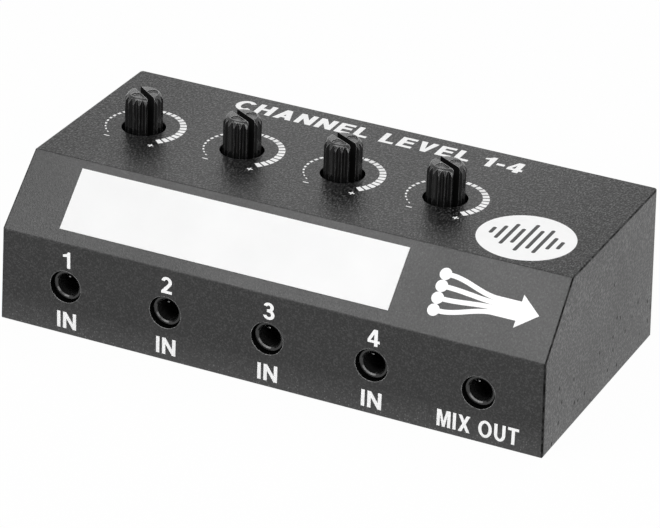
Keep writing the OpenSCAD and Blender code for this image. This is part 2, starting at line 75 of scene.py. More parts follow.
housing_low, housing_high = (np.array(corner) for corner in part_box("upper_housing"))
label_points = node_points("write_on_label")
slope_offset = (label_points[:, 2] - label_points[:, 1]).min()
front_y, top_z = housing_low[1], housing_high[2]
foot_z = front_y + slope_offset
sine_45 = np.sqrt(0.5)

PANELS = {
    "top": np.array([(0, 0, top_z), (1, 0, 0), (0, 1, 0), (0, 0, 1)]),
    "slope": np.array([(0, front_y, foot_z), (1, 0, 0), (0, sine_45, sine_45), (0, -sine_45, sine_45)]),
    "front": np.array([(0, front_y, 0), (1, 0, 0), (0, 0, 1), (0, -1, 0)]),
}
control_places = [np.array(joint["pos_m"]) for joint in frame["joints"]]
jack_places = [np.array(m["pos_m"]) for m in frame["record"]["mounts"] if m["kind"] == "bore"]
print("slope foot at z =", round(foot_z / MM, 2), "mm")
print("controls at x =", [round(place[0] / MM, 2) for place in control_places], "mm")

# %% [markdown]
# ## Meshes from whole arrays
# Blender can build each flat print by hand with extrude, but a print with many marks is quicker and
# exact as one array. A prism is an outline given twice, once at each height, with a ring of four-sided
# faces between. Many prisms with the same number of outline points are one array with one more axis.

# %% Mesh helpers


def make_object(name, points, faces, sharp_angle=None):
    """A mesh object at the origin; with a sharp angle it is shaded smooth and creased past that angle."""
    mesh = bpy.data.meshes.new(name)
    mesh.from_pydata(points.tolist(), [], faces)
    if sharp_angle is not None:
        mesh.shade_smooth()
        mesh.set_sharp_from_angle(angle=np.radians(sharp_angle))
    piece = bpy.data.objects.new(name, mesh)
    bpy.context.scene.collection.objects.link(piece)
    return piece


def joined(parts):
    """One list of points and faces out of several, with the corner numbers counted on."""
    firsts = np.cumsum([0] + [len(points) for points, _ in parts])
    faces = []
    for first, (_, own_faces) in zip(firsts.tolist(), parts):
        faces += [[first + corner for corner in face] for face in own_faces]
    return np.concatenate([points for points, _ in parts]), faces


# %% Thin prints on a panel


def on_panel(panel, flat):
    """Carries rows of (right, up, out) to the model: origin + right * U + up * V + out * N."""
    origin, axes = PANELS[panel][0], PANELS[panel][1:]
    return origin + flat @ axes


def prisms(outlines, low, high):
    """Closed prisms over a stack of outlines (prisms, corners, 2), from height low to height high."""
    count, corners, _ = outlines.shape
    flat = np.empty((count, 2, corners, 3))
    flat[..., :2] = outlines[:, None]
    flat[:, 0, :, 2] = low
    flat[:, 1, :, 2] = high
    first = 2 * corners * np.arange(count)[:, None]
    ring = np.arange(corners)
    after = np.roll(ring, -1)
    sides = np.stack([ring, after, after + corners, ring + corners], 1)
    faces = (first[:, :, None] + sides).reshape(-1, 4).tolist()
    faces += (first + ring + corners).tolist()
    faces += (first + ring[::-1]).tolist()
    return flat.reshape(-1, 3), faces


INK_SUNK = -0.02 * MM
INK_PROUD = 0.012 * MM


def print_on(name, panel, stacks, proud=INK_PROUD):
    """Thin ink in the shape of one or more stacks of outlines, in metres in the panel's own coordinates."""
    flat, faces = joined([prisms(np.asarray(stack), INK_SUNK, proud) for stack in stacks])
    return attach(make_object(name, on_panel(panel, flat), faces), "mixer")


# %% [markdown]
# ## Shader building blocks
# A finish is a small graph of nodes. The same few steps come back in all of them: a noise that varies at a
# real scale, a step that maps it to a useful range, and a mix of two colours. Noise reads Object
# coordinates, so its scale is written as the size of one grain in metres and the grain stays with the piece.

# %% Nodes, sums and mixes
COLOUR_A, COLOUR_B, COLOUR_OUT = 6, 7, 2  # the colour sockets among those of a Mix node


class PlainFinish:
    """A material with its Principled shader, and short calls for the nodes that feed it."""

    def __init__(self, name):
        self.material = bpy.data.materials.new(name)
        self.material.use_nodes = True
        self.tree = self.material.node_tree
        self.shader = self.tree.nodes["Principled BSDF"]
        self.place = self.node("ShaderNodeTexCoord").outputs["Object"]

    def node(self, kind, **settings):
        made = self.tree.nodes.new(kind)
        for key, value in settings.items():
            setattr(made, key, value)
        return made

    def feed(self, socket, value):
        """Links an output, or sets a plain value, on an input socket."""
        if isinstance(value, bpy.types.NodeSocket):
            self.tree.links.new(value, socket)
        else:
            socket.default_value = value

    def along(self, axis):
        """The Object coordinate along one axis, in metres."""
        axes = self.node("ShaderNodeSeparateXYZ")
        self.feed(axes.inputs["Vector"], self.place)
        return axes.outputs[axis]

    def span(self, value, low, high, to_low, to_high):
        """Maps low..high to to_low..to_high and holds the ends."""
        made = self.node("ShaderNodeMapRange")
        self.feed(made.inputs["Value"], value)
        for key, number in zip(("From Min", "From Max", "To Min", "To Max"), (low, high, to_low, to_high)):
            made.inputs[key].default_value = number
        return made.outputs["Result"]

    def math(self, operation, first, *others):
        """One operation over two or more values, from left to right."""
        for value in others:
            made = self.node("ShaderNodeMath", operation=operation)
            self.feed(made.inputs[0], first)
            self.feed(made.inputs[1], value)
            first = made.outputs["Value"]
        return first

    def blend(self, share, a, b):
        """Colour a where share is 0 and colour b where it is 1."""
        made = self.node("ShaderNodeMix", data_type="RGBA")
        self.feed(made.inputs["Factor"], share)
        self.feed(made.inputs[COLOUR_A], a)
        self.feed(made.inputs[COLOUR_B], b)
        return made.outputs[COLOUR_OUT]

    def look(self, colour, roughness, normal=None, **plain):
        """Sets the shader: linked colour, roughness and normal, and plain numbers on the other sockets."""
        self.feed(self.shader.inputs["Base Color"], colour)
        self.feed(self.shader.inputs["Roughness"], roughness)
        if normal is not None:
            self.feed(self.shader.inputs["Normal"], normal)
        for key, value in plain.items():
            self.shader.inputs[key.replace("_", " ").title()].default_value = value
        return self.material


# %% Grain, specks and edges
NOISE_LOW, NOISE_HIGH = 0.3, 0.7  # most of a noise lies between these
DOT_CORE = 0.6  # share of a dot's radius that is fully covered
FLAT_TURN, EDGE_TURN = 0.995, 0.9  # cosines between the rounded and the true normal
ROUND_SAMPLES = 6


class Finish(PlainFinish):
    """A finish with the patterns, bumps and edges that the pieces of this object share."""

    def stretched(self, scale):
        """Object coordinates with each axis scaled, for streaks along one direction."""
        mapping = self.node("ShaderNodeMapping")
        self.feed(mapping.inputs["Vector"], self.place)
        mapping.inputs["Scale"].default_value = scale
        return mapping.outputs["Vector"]

    def noise(self, grain, detail=2.0, vector=None):
        """Cloudy noise from 0 to 1 whose blobs are about one grain across."""
        made = self.node("ShaderNodeTexNoise")
        self.feed(made.inputs["Vector"], vector or self.place)
        made.inputs["Scale"].default_value = 1 / grain
        made.inputs["Detail"].default_value = detail
        return made.outputs["Fac"]

    def spread(self, value, low=0, high=1):
        """Maps the usual range of a noise to low..high."""
        return self.span(value, NOISE_LOW, NOISE_HIGH, low, high)

    def specks(self, spacing, size, share, vector=None):
        """1 inside small dots, one in each chosen cell: share of the cells have a dot of that size."""
        cells = self.node("ShaderNodeTexVoronoi")
        self.feed(cells.inputs["Vector"], vector or self.place)
        cells.inputs["Scale"].default_value = 1 / spacing
        dot = self.span(cells.outputs["Distance"], size / spacing, DOT_CORE * size / spacing, 0, 1)
        colour = self.node("ShaderNodeSeparateColor")
        self.feed(colour.inputs["Color"], cells.outputs["Color"])
        chosen = self.math("LESS_THAN", colour.outputs["Red"], share)
        return self.math("MULTIPLY", dot, chosen)

    def bump(self, height, depth, before=None, strength=1.0):
        """Bends the normal, or an already bent one, by a height map whose full range is depth metres."""
        made = self.node("ShaderNodeBump")
        self.feed(made.inputs["Height"], height)
        self.feed(made.inputs["Strength"], strength)
        made.inputs["Distance"].default_value = depth
        if before is not None:
            self.feed(made.inputs["Normal"], before)
        return made.outputs["Normal"]

    def round_normal(self, radius):
        """The normal that the piece would have with its edges rounded to that radius."""
        soft = self.node("ShaderNodeBevel", samples=ROUND_SAMPLES)
        soft.inputs["Radius"].default_value = radius
        return soft.outputs["Normal"]

    def edges(self, soft):
        """About 0 on flat faces, rising to 1 on edges: how far a rounded normal turns from the true one."""
        true = self.node("ShaderNodeNewGeometry")
        dot = self.node("ShaderNodeVectorMath", operation="DOT_PRODUCT")
        self.feed(dot.inputs[0], soft)
        self.feed(dot.inputs[1], true.outputs["Normal"])
        return self.span(dot.outputs["Value"], FLAT_TURN, EDGE_TURN, 0, 1)

    def normal_part(self, axis, low, high, normal=None):
        """0 where the normal's share along an axis is under low, up to 1 where it is over high."""
        axes = self.node("ShaderNodeSeparateXYZ")
        self.feed(axes.inputs["Vector"], normal or self.node("ShaderNodeNewGeometry").outputs["Normal"])
        return self.span(self.math("ABSOLUTE", axes.outputs[axis], 0), low, high, 0, 1)


# %% Greys, and giving a piece its finish


def grey(value):
    """A neutral colour with full alpha."""
    return (value, value, value, 1.0)


def wear(name_or_object, material):
    """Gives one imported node, or one new piece, a single material."""
    piece = frame["nodes"][name_or_object] if isinstance(name_or_object, str) else name_or_object
    piece.data.materials.clear()
    piece.data.materials.append(material)
    return piece


# %% [markdown]
# ## The box: charcoal plastic with a spark texture
# The real box is moulded in a tool with a spark-eroded face, so the plastic is satin and finely pitted: it
# sparkles where a pit catches the light, most of all on the top, which is seen at a low angle. A single grey
# would look like card. Two noises of different grain bend the normal and change the colour a little, fainter
# on the slope than on the front, and the end walls have a coarser pebble. That sparkle is also painted: the
# grain is paler on the top and the end walls. Scattered dots are dust, and towards the foot of the front and
# the back more pale specks over a pale veil make a lighter band.

# %% Grain with painted sparkle, dust and a paler band at the foot of the housing
PEBBLE = 0.4 * MM
# Painted sparkle and sheen: the grain is paler on the top and the end walls than on the front and the slope.
TOP_GRAIN_SPARKLE_TONES, END_PEBBLE_SHEEN_TONES = (grey(0.001), grey(0.08)), (grey(0.001), grey(0.095))
FRONT_GRAIN_SPARKLE_TONES, SLOPE_GRAIN_SPARKLE_TONES = (grey(0.004), grey(0.032)), (grey(0.012), grey(0.02))
CLOUD_TONE, DUST_TONE, FOOT_PALE_TONE = grey(0.012), grey(0.30), grey(0.35)
CLOUD_COVER, TOP_DUST, FRONT_DUST, FOOT_PALE_COVER = 0.25, 0.22, 0.1, 0.35
DUST_SPACING, DUST_SIZE, DUST_SHARE = 0.6 * MM, 0.09 * MM, 0.45
FOOT_SPECK_SPACING, FOOT_SPECK_SIZE, FOOT_SPECK_SHARE, FOOT_VEIL = 0.4 * MM, 0.13 * MM, 0.5, 0.2
FOOT_BAND_TOP, FOOT_BAND_LOW = 5 * MM, 0.3 * MM


def grained(f, height, cloud, facing, end_wall):
    """The tone of the plastic: dark in the pits and lighter on the grain, in the range of each side, with painted
    sparkle: paler grain on the top and the end walls.
    """
    upright = f.normal_part("Y", 0.8, 0.95)
    sides = zip(TOP_GRAIN_SPARKLE_TONES, SLOPE_GRAIN_SPARKLE_TONES, FRONT_GRAIN_SPARKLE_TONES)
    dark, light = (f.blend(upright, f.blend(facing, top, slope), front) for top, slope, front in sides)
    tone = f.blend(f.span(height, 0.80, 1.06, 0, 1), dark, light)
    pebble = f.span(f.noise(PEBBLE, 1), 0.46, 0.7, 0, 1)
    tone = f.blend(end_wall, tone, f.blend(pebble, *END_PEBBLE_SHEEN_TONES))
    return f.blend(f.span(cloud, 0.35, 0.7, 0, CLOUD_COVER), tone, CLOUD_TONE)


def dusted(f, tone, facing):
    """Specks of dust, fainter on front, slope and back, and pale specks over a pale veil that grow towards the
    foot of these.
    """
    dust = f.specks(DUST_SPACING, DUST_SIZE, DUST_SHARE)
    dust = f.math("MULTIPLY", dust, f.span(facing, 0, 1, TOP_DUST, FRONT_DUST))
    tone = f.blend(dust, tone, DUST_TONE)
    # Paler towards the foot of the front and the back: pale specks over a pale veil.
    near_foot = f.span(f.along("Z"), FOOT_BAND_TOP, FOOT_BAND_LOW, 0, FOOT_PALE_COVER)
    foot_specks = f.math("MAXIMUM", f.specks(FOOT_SPECK_SPACING, FOOT_SPECK_SIZE, FOOT_SPECK_SHARE), FOOT_VEIL)
    return f.blend(f.math("MULTIPLY", foot_specks, facing, near_foot), tone, FOOT_PALE_TONE)


# %% [markdown]
# A rounded normal turns away from the true one only near an edge, so it finds the edges: along the end walls
# a dark line of painted shade with nicks in it, on the others a lighter tone, partly rub and partly painted
# highlight, and round the rims of the jack holes a pale painted highlight. The walls of the holes get painted
# shade, black and with little gloss: a point there lies deep under the front, the slope and the top at once,
# which three short sums can tell.

# %% Edges, holes and pores of the housing
HOLE_SHADE_DEPTH = 0.12 * MM
CUT_HALF_WIDTH, CUT_BACK, CUT_ABOVE = 40 * MM, 21 * MM, 4 * MM
NICK_AND_SHADE_GRAIN, RUB_AND_HIGHLIGHT_GRAIN, RIM_HIGHLIGHT_GRAIN = 0.8 * MM, 0.5 * MM, 0.9 * MM
PORE_SPACING, PORE_SIZE, PORE_SHARE, PORE_STRETCH = 1.6 * MM, 0.28 * MM, 0.3, (1, 1, 0.6)
RUB_AND_HIGHLIGHT_TONE, RIM_HIGHLIGHT_TONE, SHADE_AND_PORE_TONE = grey(0.25), grey(0.6), grey(0.002)


def off_middle(f):
    """Distance from the middle of the box, to either side."""
    return f.math("ABSOLUTE", f.along("X"), 0)


def cut_walls(f):
    """1 at points a little deeper than all three printed panels, away from ends, foot and back: the hole walls,
    for painted shade.
    """
    y, z = f.along("Y"), f.along("Z")
    under_front = f.math("SUBTRACT", y, front_y)
    under_top = f.math("SUBTRACT", top_z, z)
    under_slope = f.math("MULTIPLY", f.math("ADD", f.math("SUBTRACT", y, z), slope_offset), sine_45)
    deep = f.math("GREATER_THAN", f.math("MINIMUM", under_front, under_top, under_slope), HOLE_SHADE_DEPTH)
    inside = f.math("LESS_THAN", off_middle(f), CUT_HALF_WIDTH)
    above = f.math("GREATER_THAN", z, CUT_ABOVE)
    return f.math("MULTIPLY", deep, inside, above, f.math("LESS_THAN", y, CUT_BACK))


def dull_places(f, soft, end_wall):
    """Up to 1 on a painted dark line with nicks along the end walls, on the painted shade of the hole walls, and
    in pores of the end walls.
    """
    # Painted shade: a dark, patchy line along the edges of the end walls, partly nicks.
    corner = f.math("MULTIPLY", f.normal_part("X", 0.12, 0.35, soft), f.normal_part("X", 0.97, 0.85, soft))
    outer = f.math("GREATER_THAN", off_middle(f), CUT_HALF_WIDTH)
    nicks_and_shade = f.math("MULTIPLY", corner, outer, f.span(f.noise(NICK_AND_SHADE_GRAIN, 3), 0.35, 0.6, 0.5, 1))
    pores = f.specks(PORE_SPACING, PORE_SIZE, PORE_SHARE, f.stretched(PORE_STRETCH))
    return f.math("MAXIMUM", nicks_and_shade, cut_walls(f), f.math("MULTIPLY", pores, end_wall))


def rubbed(f, tone, soft, edge):
    """Edges painted lighter, partly rub and partly painted highlight, and a pale painted highlight where the front
    turns into a hole; both are patchy.
    """
    # Part wear, part painted highlight: a patchy pale tone along the edges.
    rub_and_highlight = f.math("MULTIPLY", edge, f.span(f.noise(RUB_AND_HIGHLIGHT_GRAIN, 3), 0.4, 0.65, 0, 0.8))
    rim = f.math("MULTIPLY", f.normal_part("Y", 0.9, 0.97), f.normal_part("Y", 0.92, 0.8, soft))
    above = f.math("GREATER_THAN", f.along("Z"), CUT_ABOVE)
    inner = f.math("SUBTRACT", 1, f.math("GREATER_THAN", off_middle(f), CUT_HALF_WIDTH))
    # Painted highlight: a pale line round the rims of the holes in the front.
    rim_highlight = f.math("MULTIPLY", rim, above, inner, f.span(f.noise(RIM_HIGHLIGHT_GRAIN, 2), 0.35, 0.6, 0.1, 1))
    return f.blend(rim_highlight, f.blend(rub_and_highlight, tone, RUB_AND_HIGHLIGHT_TONE), RIM_HIGHLIGHT_TONE)


# %% [markdown]
# The gloss is uneven too. It is stronger on the grain than in the pits, and the top is smoother than the
# rest: it mirrors the shafts a little, and most in the middle, where hands reach for the controls.

# %% Housing plastic
GRAIN, FINE_GRAIN, FINE_SHARE, GRAIN_STRETCH = 0.26 * MM, 0.16 * MM, 0.6, (1, 0.5, 1)
GRAIN_DEPTH, EDGE_ROUND = 0.05 * MM, 0.18 * MM
CLOUD = 14 * MM
FADE_FROM, FADE_TO, END_LOSS, PIT_LOSS = 20 * MM, 42 * MM, 0.16, 0.10
PIT_GLOSS, GRAIN_GLOSS, SHADE_AND_PORE_GLOSS = 0.42, 0.58, 0.1
HOUSING_ROUGH, FRONT_BUMP = (0.36, 0.42), 0.4
EDGE_SMOOTH, FRONT_SMOOTH, TOP_SMOOTH = 0.14, 0.035, 0.1


def housing_gloss(f, height, upward, shade_and_pores):
    """Specular level: higher on the grain, lower on the top towards its ends, nearly none on the painted shade and
    the pores.
    """
    at_ends = f.span(off_middle(f), FADE_FROM, FADE_TO, 0, END_LOSS)
    loss = f.math("MULTIPLY", upward, f.math("ADD", f.span(height, 0.6, 1.0, PIT_LOSS, 0), at_ends))
    sparkle = f.math("SUBTRACT", f.span(height, 0.5, 1.1, PIT_GLOSS, GRAIN_GLOSS), loss)
    return f.math("MULTIPLY", sparkle, f.span(shade_and_pores, 0, 1, 1, SHADE_AND_PORE_GLOSS))


def charcoal_plastic():
    f = Finish("charcoal_plastic")
    along = f.stretched(GRAIN_STRETCH)
    fine = f.math("MULTIPLY", f.noise(FINE_GRAIN, 2, along), FINE_SHARE)
    height = f.math("ADD", f.noise(GRAIN, 1, along), fine)
    cloud = f.noise(CLOUD, 2)
    end_wall, facing = f.normal_part("X", 0.8, 0.95), f.normal_part("Y", 0.3, 0.6)
    upward = f.normal_part("Z", 0.85, 0.95)
    soft = f.round_normal(EDGE_ROUND)
    edge = f.edges(soft)
    shade_and_pores = dull_places(f, soft, end_wall)
    tone = dusted(f, grained(f, height, cloud, facing, end_wall), facing)
    # Painted shade on the end-wall edges and the hole walls, and real pores, in one near-black tone.
    tone = f.blend(shade_and_pores, rubbed(f, tone, soft, edge), SHADE_AND_PORE_TONE)
    f.feed(f.shader.inputs["Specular IOR Level"], housing_gloss(f, height, upward, shade_and_pores))
    places = [(edge, EDGE_SMOOTH), (facing, FRONT_SMOOTH), (upward, TOP_SMOOTH)]
    smooth = f.math("MAXIMUM", *(f.math("MULTIPLY", place, share) for place, share in places))
    rough = f.math("SUBTRACT", f.spread(cloud, *HOUSING_ROUGH), smooth)
    return f.look(tone, rough, f.bump(height, GRAIN_DEPTH, soft, f.span(facing, 0, 1, 1, FRONT_BUMP)))


wear("upper_housing", charcoal_plastic())
wear("bottom_cover", frame["nodes"]["upper_housing"].data.materials[0])
print("housing plastic on upper_housing and bottom_cover")

# %% [markdown]
# ## Black plastics, metals and the board
# The shafts are satin black with faint streaks along their length from the mould; the jacks are a harder,
# glossier black. The pieces inside are seldom seen, but they get their own finishes too: nickel, brass and
# bright steel with uneven gloss, a green laminate, and a tan lacquer on the resistors. Faces of a shaft that
# are marked as walls of its slot lose their gloss: hardly any light gets in there. The label is a matt film.

# %% Shaft plastic
SLOT_MARK = "slot_wall"
CROWN_HIGH = 1.1 * MM
STREAK, STREAK_STRETCH, SHAFT_GRAIN = 0.16 * MM, (1, 1, 0.06), 0.2 * MM
SHAFT_DEPTH, SHAFT_ROUND = 0.012 * MM, 0.16 * MM
SHAFT_TONES, END_GRAIN_SHEEN_TONE, CROWN_RUB_HIGHLIGHT_TONE = (grey(0.004), grey(0.012)), grey(0.16), grey(0.5)
SHAFT_ROUGH, SHAFT_GLOSS, SLOT_GLOSS = (0.10, 0.17), 0.5, 0.1
shaft_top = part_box("pot_1_shaft")[1][2]


def satin_black():
    """Black plastic with mould streaks, end faces painted paler as sheen, edges near the top painted pale as rub
    and highlight, and little gloss on faces marked as slot walls.
    """
    f = Finish("satin_black_shaft_plastic")
    streak = f.noise(STREAK, 2, f.stretched(STREAK_STRETCH))
    grain = f.noise(SHAFT_GRAIN, 2)
    slot = f.node("ShaderNodeAttribute", attribute_name=SLOT_MARK).outputs["Fac"]
    tone = f.blend(f.span(streak, 0.35, 0.7, 0, 1), *SHAFT_TONES)
    # Painted sheen: the grainy end faces of the shaft are much paler than its sides.
    end = f.math("MULTIPLY", f.normal_part("Z", 0.9, 0.97), f.span(grain, 0.35, 0.65, 0, 1))
    tone = f.blend(end, tone, END_GRAIN_SHEEN_TONE)
    # Part wear, part painted highlight: pale edges, strongest near the top of the shaft.
    crown = f.span(f.along("Z"), shaft_top - CROWN_HIGH, shaft_top, 0.2, 1)
    edge = f.edges(f.round_normal(SHAFT_ROUND))
    rub_and_highlight = f.math("MULTIPLY", edge, f.span(grain, 0.35, 0.65, 0.4, 1), crown)
    tone = f.blend(slot, f.blend(rub_and_highlight, tone, CROWN_RUB_HIGHLIGHT_TONE), SHAFT_TONES[0])
    f.feed(f.shader.inputs["Specular IOR Level"], f.span(slot, 0, 1, SHAFT_GLOSS, SLOT_GLOSS))
    rough = f.math("MAXIMUM", f.spread(grain, *SHAFT_ROUGH), slot)
    return f.look(tone, rough, f.bump(f.math("ADD", streak, grain), SHAFT_DEPTH))


# %% Jack plastic, label film and the finishes inside
JACK_GRAIN, JACK_DEPTH = 0.3 * MM, 0.002 * MM
JACK_TONES, JACK_ROUGH = (grey(0.008), grey(0.016)), (0.11, 0.17)
MOTTLE, MOTTLE_DEPTH, GLOSS_SPREAD = 0.4 * MM, 0.006 * MM, 0.12
FIBRE, FIBRE_DEPTH, LABEL_CLOUD = 0.5 * MM, 0.006 * MM, 9 * MM
LABEL_TONES, LABEL_ROUGH = (grey(0.81), grey(0.84)), (0.42, 0.55)


def gloss_black():
    f = Finish("gloss_black_jack_plastic")
    grain = f.noise(JACK_GRAIN, 2)
    tone = f.blend(f.spread(grain), *JACK_TONES)
    return f.look(tone, f.spread(grain, *JACK_ROUGH), f.bump(grain, JACK_DEPTH))


def uneven(name, dark, light, rough, metallic=0.0):
    """A plain finish with a cloudy change of tone and gloss, for the pieces inside and the dark ink."""
    f = Finish(name)
    mottle = f.noise(MOTTLE, 3)
    tone = f.blend(f.spread(mottle), dark, light)
    gloss = f.spread(mottle, rough, rough + GLOSS_SPREAD)
    return f.look(tone, gloss, f.bump(mottle, MOTTLE_DEPTH), metallic=metallic)


def label_film():
    f = Finish("matt_label_film")
    fibre = f.noise(FIBRE, 3)
    tone = f.blend(f.spread(f.noise(LABEL_CLOUD, 2)), *LABEL_TONES)
    return f.look(tone, f.spread(fibre, *LABEL_ROUGH), f.bump(fibre, FIBRE_DEPTH))


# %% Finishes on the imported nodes
jack_finish, shaft_finish = gloss_black(), satin_black()
moulding = uneven("pot_case_plastic", grey(0.014), grey(0.026), 0.45)
steel = uneven("bright_steel", grey(0.46), grey(0.58), 0.28, 1.0)
plated = uneven("nickel_plated_contacts", grey(0.50), grey(0.60), 0.26, 1.0)
brass = uneven("wiper_brass", (0.62, 0.44, 0.18, 1), (0.74, 0.55, 0.26, 1), 0.24, 1.0)
laminate = uneven("board_laminate", (0.03, 0.13, 0.05, 1), (0.05, 0.19, 0.08, 1), 0.35)
lacquer = uneven("resistor_lacquer", (0.50, 0.36, 0.20, 1), (0.60, 0.45, 0.27, 1), 0.32)
track = uneven("carbon_track", grey(0.008), grey(0.018), 0.55)
FINISH_BY_WORD = {
    "_body": jack_finish, "_sleeve": plated, "_tip": plated, "_wiper": brass, "_case": moulding,
    "_track": track, "_frame": steel, "_terminals": steel, "_screws": steel, "_leads": steel,
    "_shaft": shaft_finish, "_board": laminate, "_resistors": lacquer, "_label": label_film(),
}
for node in frame["nodes"]:
    for word, finish in FINISH_BY_WORD.items():
        if node.endswith(word):
            wear(node, finish)
print("finishes set on", sum(len(o.data.materials) == 1 for o in frame["nodes"].values()), "nodes")

# %% [markdown]
# ## The toothed, split control shafts
# A knob is pushed onto the end of each shaft, so the end has fine teeth to grip it and a slot that lets the
# two halves spring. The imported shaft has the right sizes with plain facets. Here it gets the moulded form:
# fluted teeth, a soft chamfer, and a round dimple in each half where an ejector pin of the mould pushed.
# Every level of a half is one closed row of an array: round the outside the radius is the smaller of the
# tooth profile and the chamfer, and back along the wall of the slot the row is straight. The last rows are
# the rings of the dimple, drawn along the lines from its middle to the outline: circles that keep a thin rim
# free where the outline is near. So the end face needs no cutting. The foot with the rotor disc is a turned
# shape whose radius changes with the angle at its stop lug.

# %% Shaft profiles
SHAFT_TEETH = 18
TOOTH_TIP, TOOTH_DEPTH, TIP_SOFT = 2.97 * MM, 0.45 * MM, 0.5
CHAMFER_WIDE, CHAMFER_HIGH, CHAMFER_BEND = 0.72 * MM, 1.15 * MM, 1.4


def tooth_radius(angle):
    """Flutes between narrow tips: tip radius less depth times a softened |sin| of half the tooth angle."""
    wave = np.sqrt(np.sin(SHAFT_TEETH / 2 * angle) ** 2 + TIP_SOFT**2) - TIP_SOFT
    return TOOTH_TIP - TOOTH_DEPTH * wave / (np.sqrt(1 + TIP_SOFT**2) - TIP_SOFT)


def chamfer_profile(levels):
    """Radius and drop under the top of a soft chamfer: a quarter superellipse, between flat and round."""
    angle = np.linspace(0, np.pi / 2, levels)
    radius = TOOTH_TIP - CHAMFER_WIDE * (1 - np.cos(angle) ** CHAMFER_BEND)
    drop = CHAMFER_HIGH * (1 - np.sin(angle) ** CHAMFER_BEND)
    return radius, drop


valley = tooth_radius(np.pi / SHAFT_TEETH)
print("teeth:", SHAFT_TEETH, "of radius", round(valley / MM, 2), "to", round(TOOTH_TIP / MM, 2), "mm")

# %% One half of the split end
SLOT_HALF, SLOT_DEEP = 0.55 * MM, 7.6 * MM
SLOT_LAP = 0.03 * MM
DIMPLE_AT, DIMPLE_ASIDE = 1.3 * MM, -0.7 * MM
DIMPLE_RADIUS, DIMPLE_RIM = 1.2 * MM, 0.08 * MM
DIMPLE_RINGS = [(1.0, 0.0), (0.98, -0.04), (0.95, -0.22), (0.90, -0.26)]  # share of radius, mm of height
SETTLE_ROUNDS = 12


def tube_faces(rows, columns):
    """Faces of a stack of closed rows: four-sided between the rows, and one cap at each end."""
    row = np.arange(rows - 1)[:, None] * columns
    column = np.arange(columns)
    after = (column + 1) % columns
    quads = np.stack([row + column, row + after, row + columns + after, row + columns + column], -1)
    caps = [(column + (rows - 1) * columns).tolist(), column[::-1].tolist()]
    return quads.reshape(-1, 4).tolist() + caps


def shaft_half(top, dimple_aside, columns=241, wall_columns=23, chamfer_levels=18):
    """One half of the split end: rows of min(tooth, chamfer) radius, each closed along the slot's wall.

    Returns points, faces, and for each four-sided face whether it belongs to that wall.
    """
    radius, drop = chamfer_profile(chamfer_levels)
    radius = np.concatenate([[TOOTH_TIP], radius])[:, None]
    height = np.concatenate([[top - SLOT_DEEP - SLOT_LAP], top - drop])[:, None]
    start = np.arcsin(SLOT_HALF / TOOTH_TIP) + 0 * radius
    for _ in range(SETTLE_ROUNDS):
        start = np.arcsin(SLOT_HALF / np.minimum(tooth_radius(start), radius))
    angle = start + (np.pi - 2 * start) * np.linspace(0, 1, columns)
    reach = np.minimum(tooth_radius(angle), radius)
    outside = np.stack([reach * np.cos(angle), reach * np.sin(angle)], 2)
    along = np.linspace(0, 1, wall_columns + 2)[1:-1, None]
    wall = outside[:, -1:] + along * (outside[:, :1] - outside[:, -1:])
    outline = np.concatenate([outside, wall], 1)
    rows = np.concatenate([outline, np.broadcast_to(height[..., None], outline.shape[:2] + (1,))], 2)
    middle = np.array([dimple_aside, DIMPLE_AT])
    ray = outline[-1] - middle
    far = np.linalg.norm(ray, axis=1, keepdims=True)
    ray *= np.minimum(DIMPLE_RADIUS, far - DIMPLE_RIM) / far
    rings = [np.insert(middle + share * ray, 2, top + deep * MM, 1) for share, deep in DIMPLE_RINGS]
    points = np.concatenate([rows, rings])
    walls = np.zeros((len(points) - 1, points.shape[1]))
    walls[:len(rows) - 1, columns - 1:] = 1
    return points.reshape(-1, 3), tube_faces(*points.shape[:2]), walls.ravel()


# %% Shaft foot
SHAFT_RADIUS, DISC_OUT, LUG_OUT = 3.0 * MM, 3.2 * MM, 3.9 * MM
PIVOT_RADIUS, PIVOT_HIGH, DISC_HIGH = 1.2 * MM, 2.2 * MM, 1.2 * MM
LUG_HALF = np.radians(9.5)
TEETH_LONG = 8.6 * MM


def shaft_foot(low, high, columns=252):
    """Rings of pivot, rotor disc with its lug, plain shaft and teeth; the lug slopes over one column."""
    angle = np.linspace(0, 2 * np.pi, columns, endpoint=False)
    lug = np.where(np.abs(angle - np.pi / 2) < LUG_HALF, LUG_OUT, DISC_OUT)
    disc_low, disc_top = low + PIVOT_HIGH, low + PIVOT_HIGH + DISC_HIGH
    plain_top, floor = high - TEETH_LONG, high - SLOT_DEEP
    rings = [(PIVOT_RADIUS, low), (PIVOT_RADIUS, disc_low), (lug, disc_low), (lug, disc_top),
             (SHAFT_RADIUS, disc_top), (SHAFT_RADIUS, plain_top), (tooth_radius(angle), plain_top),
             (tooth_radius(angle), floor)]
    points = np.stack([np.stack([r * np.cos(angle), r * np.sin(angle), z + 0 * angle], 1) for r, z in rings])
    return points.reshape(-1, 3), tube_faces(*points.shape[:2])


# %% Shafts on their controls
MIDDLE_TURN = 150  # half of the 300 degrees between the end stops


def turned(parts, degrees, place):
    """Turns a list of parts about Z and moves them to a place in plan."""
    c, s = np.cos(np.radians(degrees)), np.sin(np.radians(degrees))
    matrix = np.array([(c, s, 0), (-s, c, 0), (0, 0, 1)])
    return [(points @ matrix + (place[0], place[1], 0), faces) for points, faces in parts]


def mark_faces(piece, name, values):
    """Stores one number per face, for a material to read; faces past the end of the list get 0."""
    marks = np.zeros(len(piece.data.polygons))
    marks[:len(values)] = values
    piece.data.attributes.new(name, "FLOAT", "FACE").data.foreach_set("value", marks)


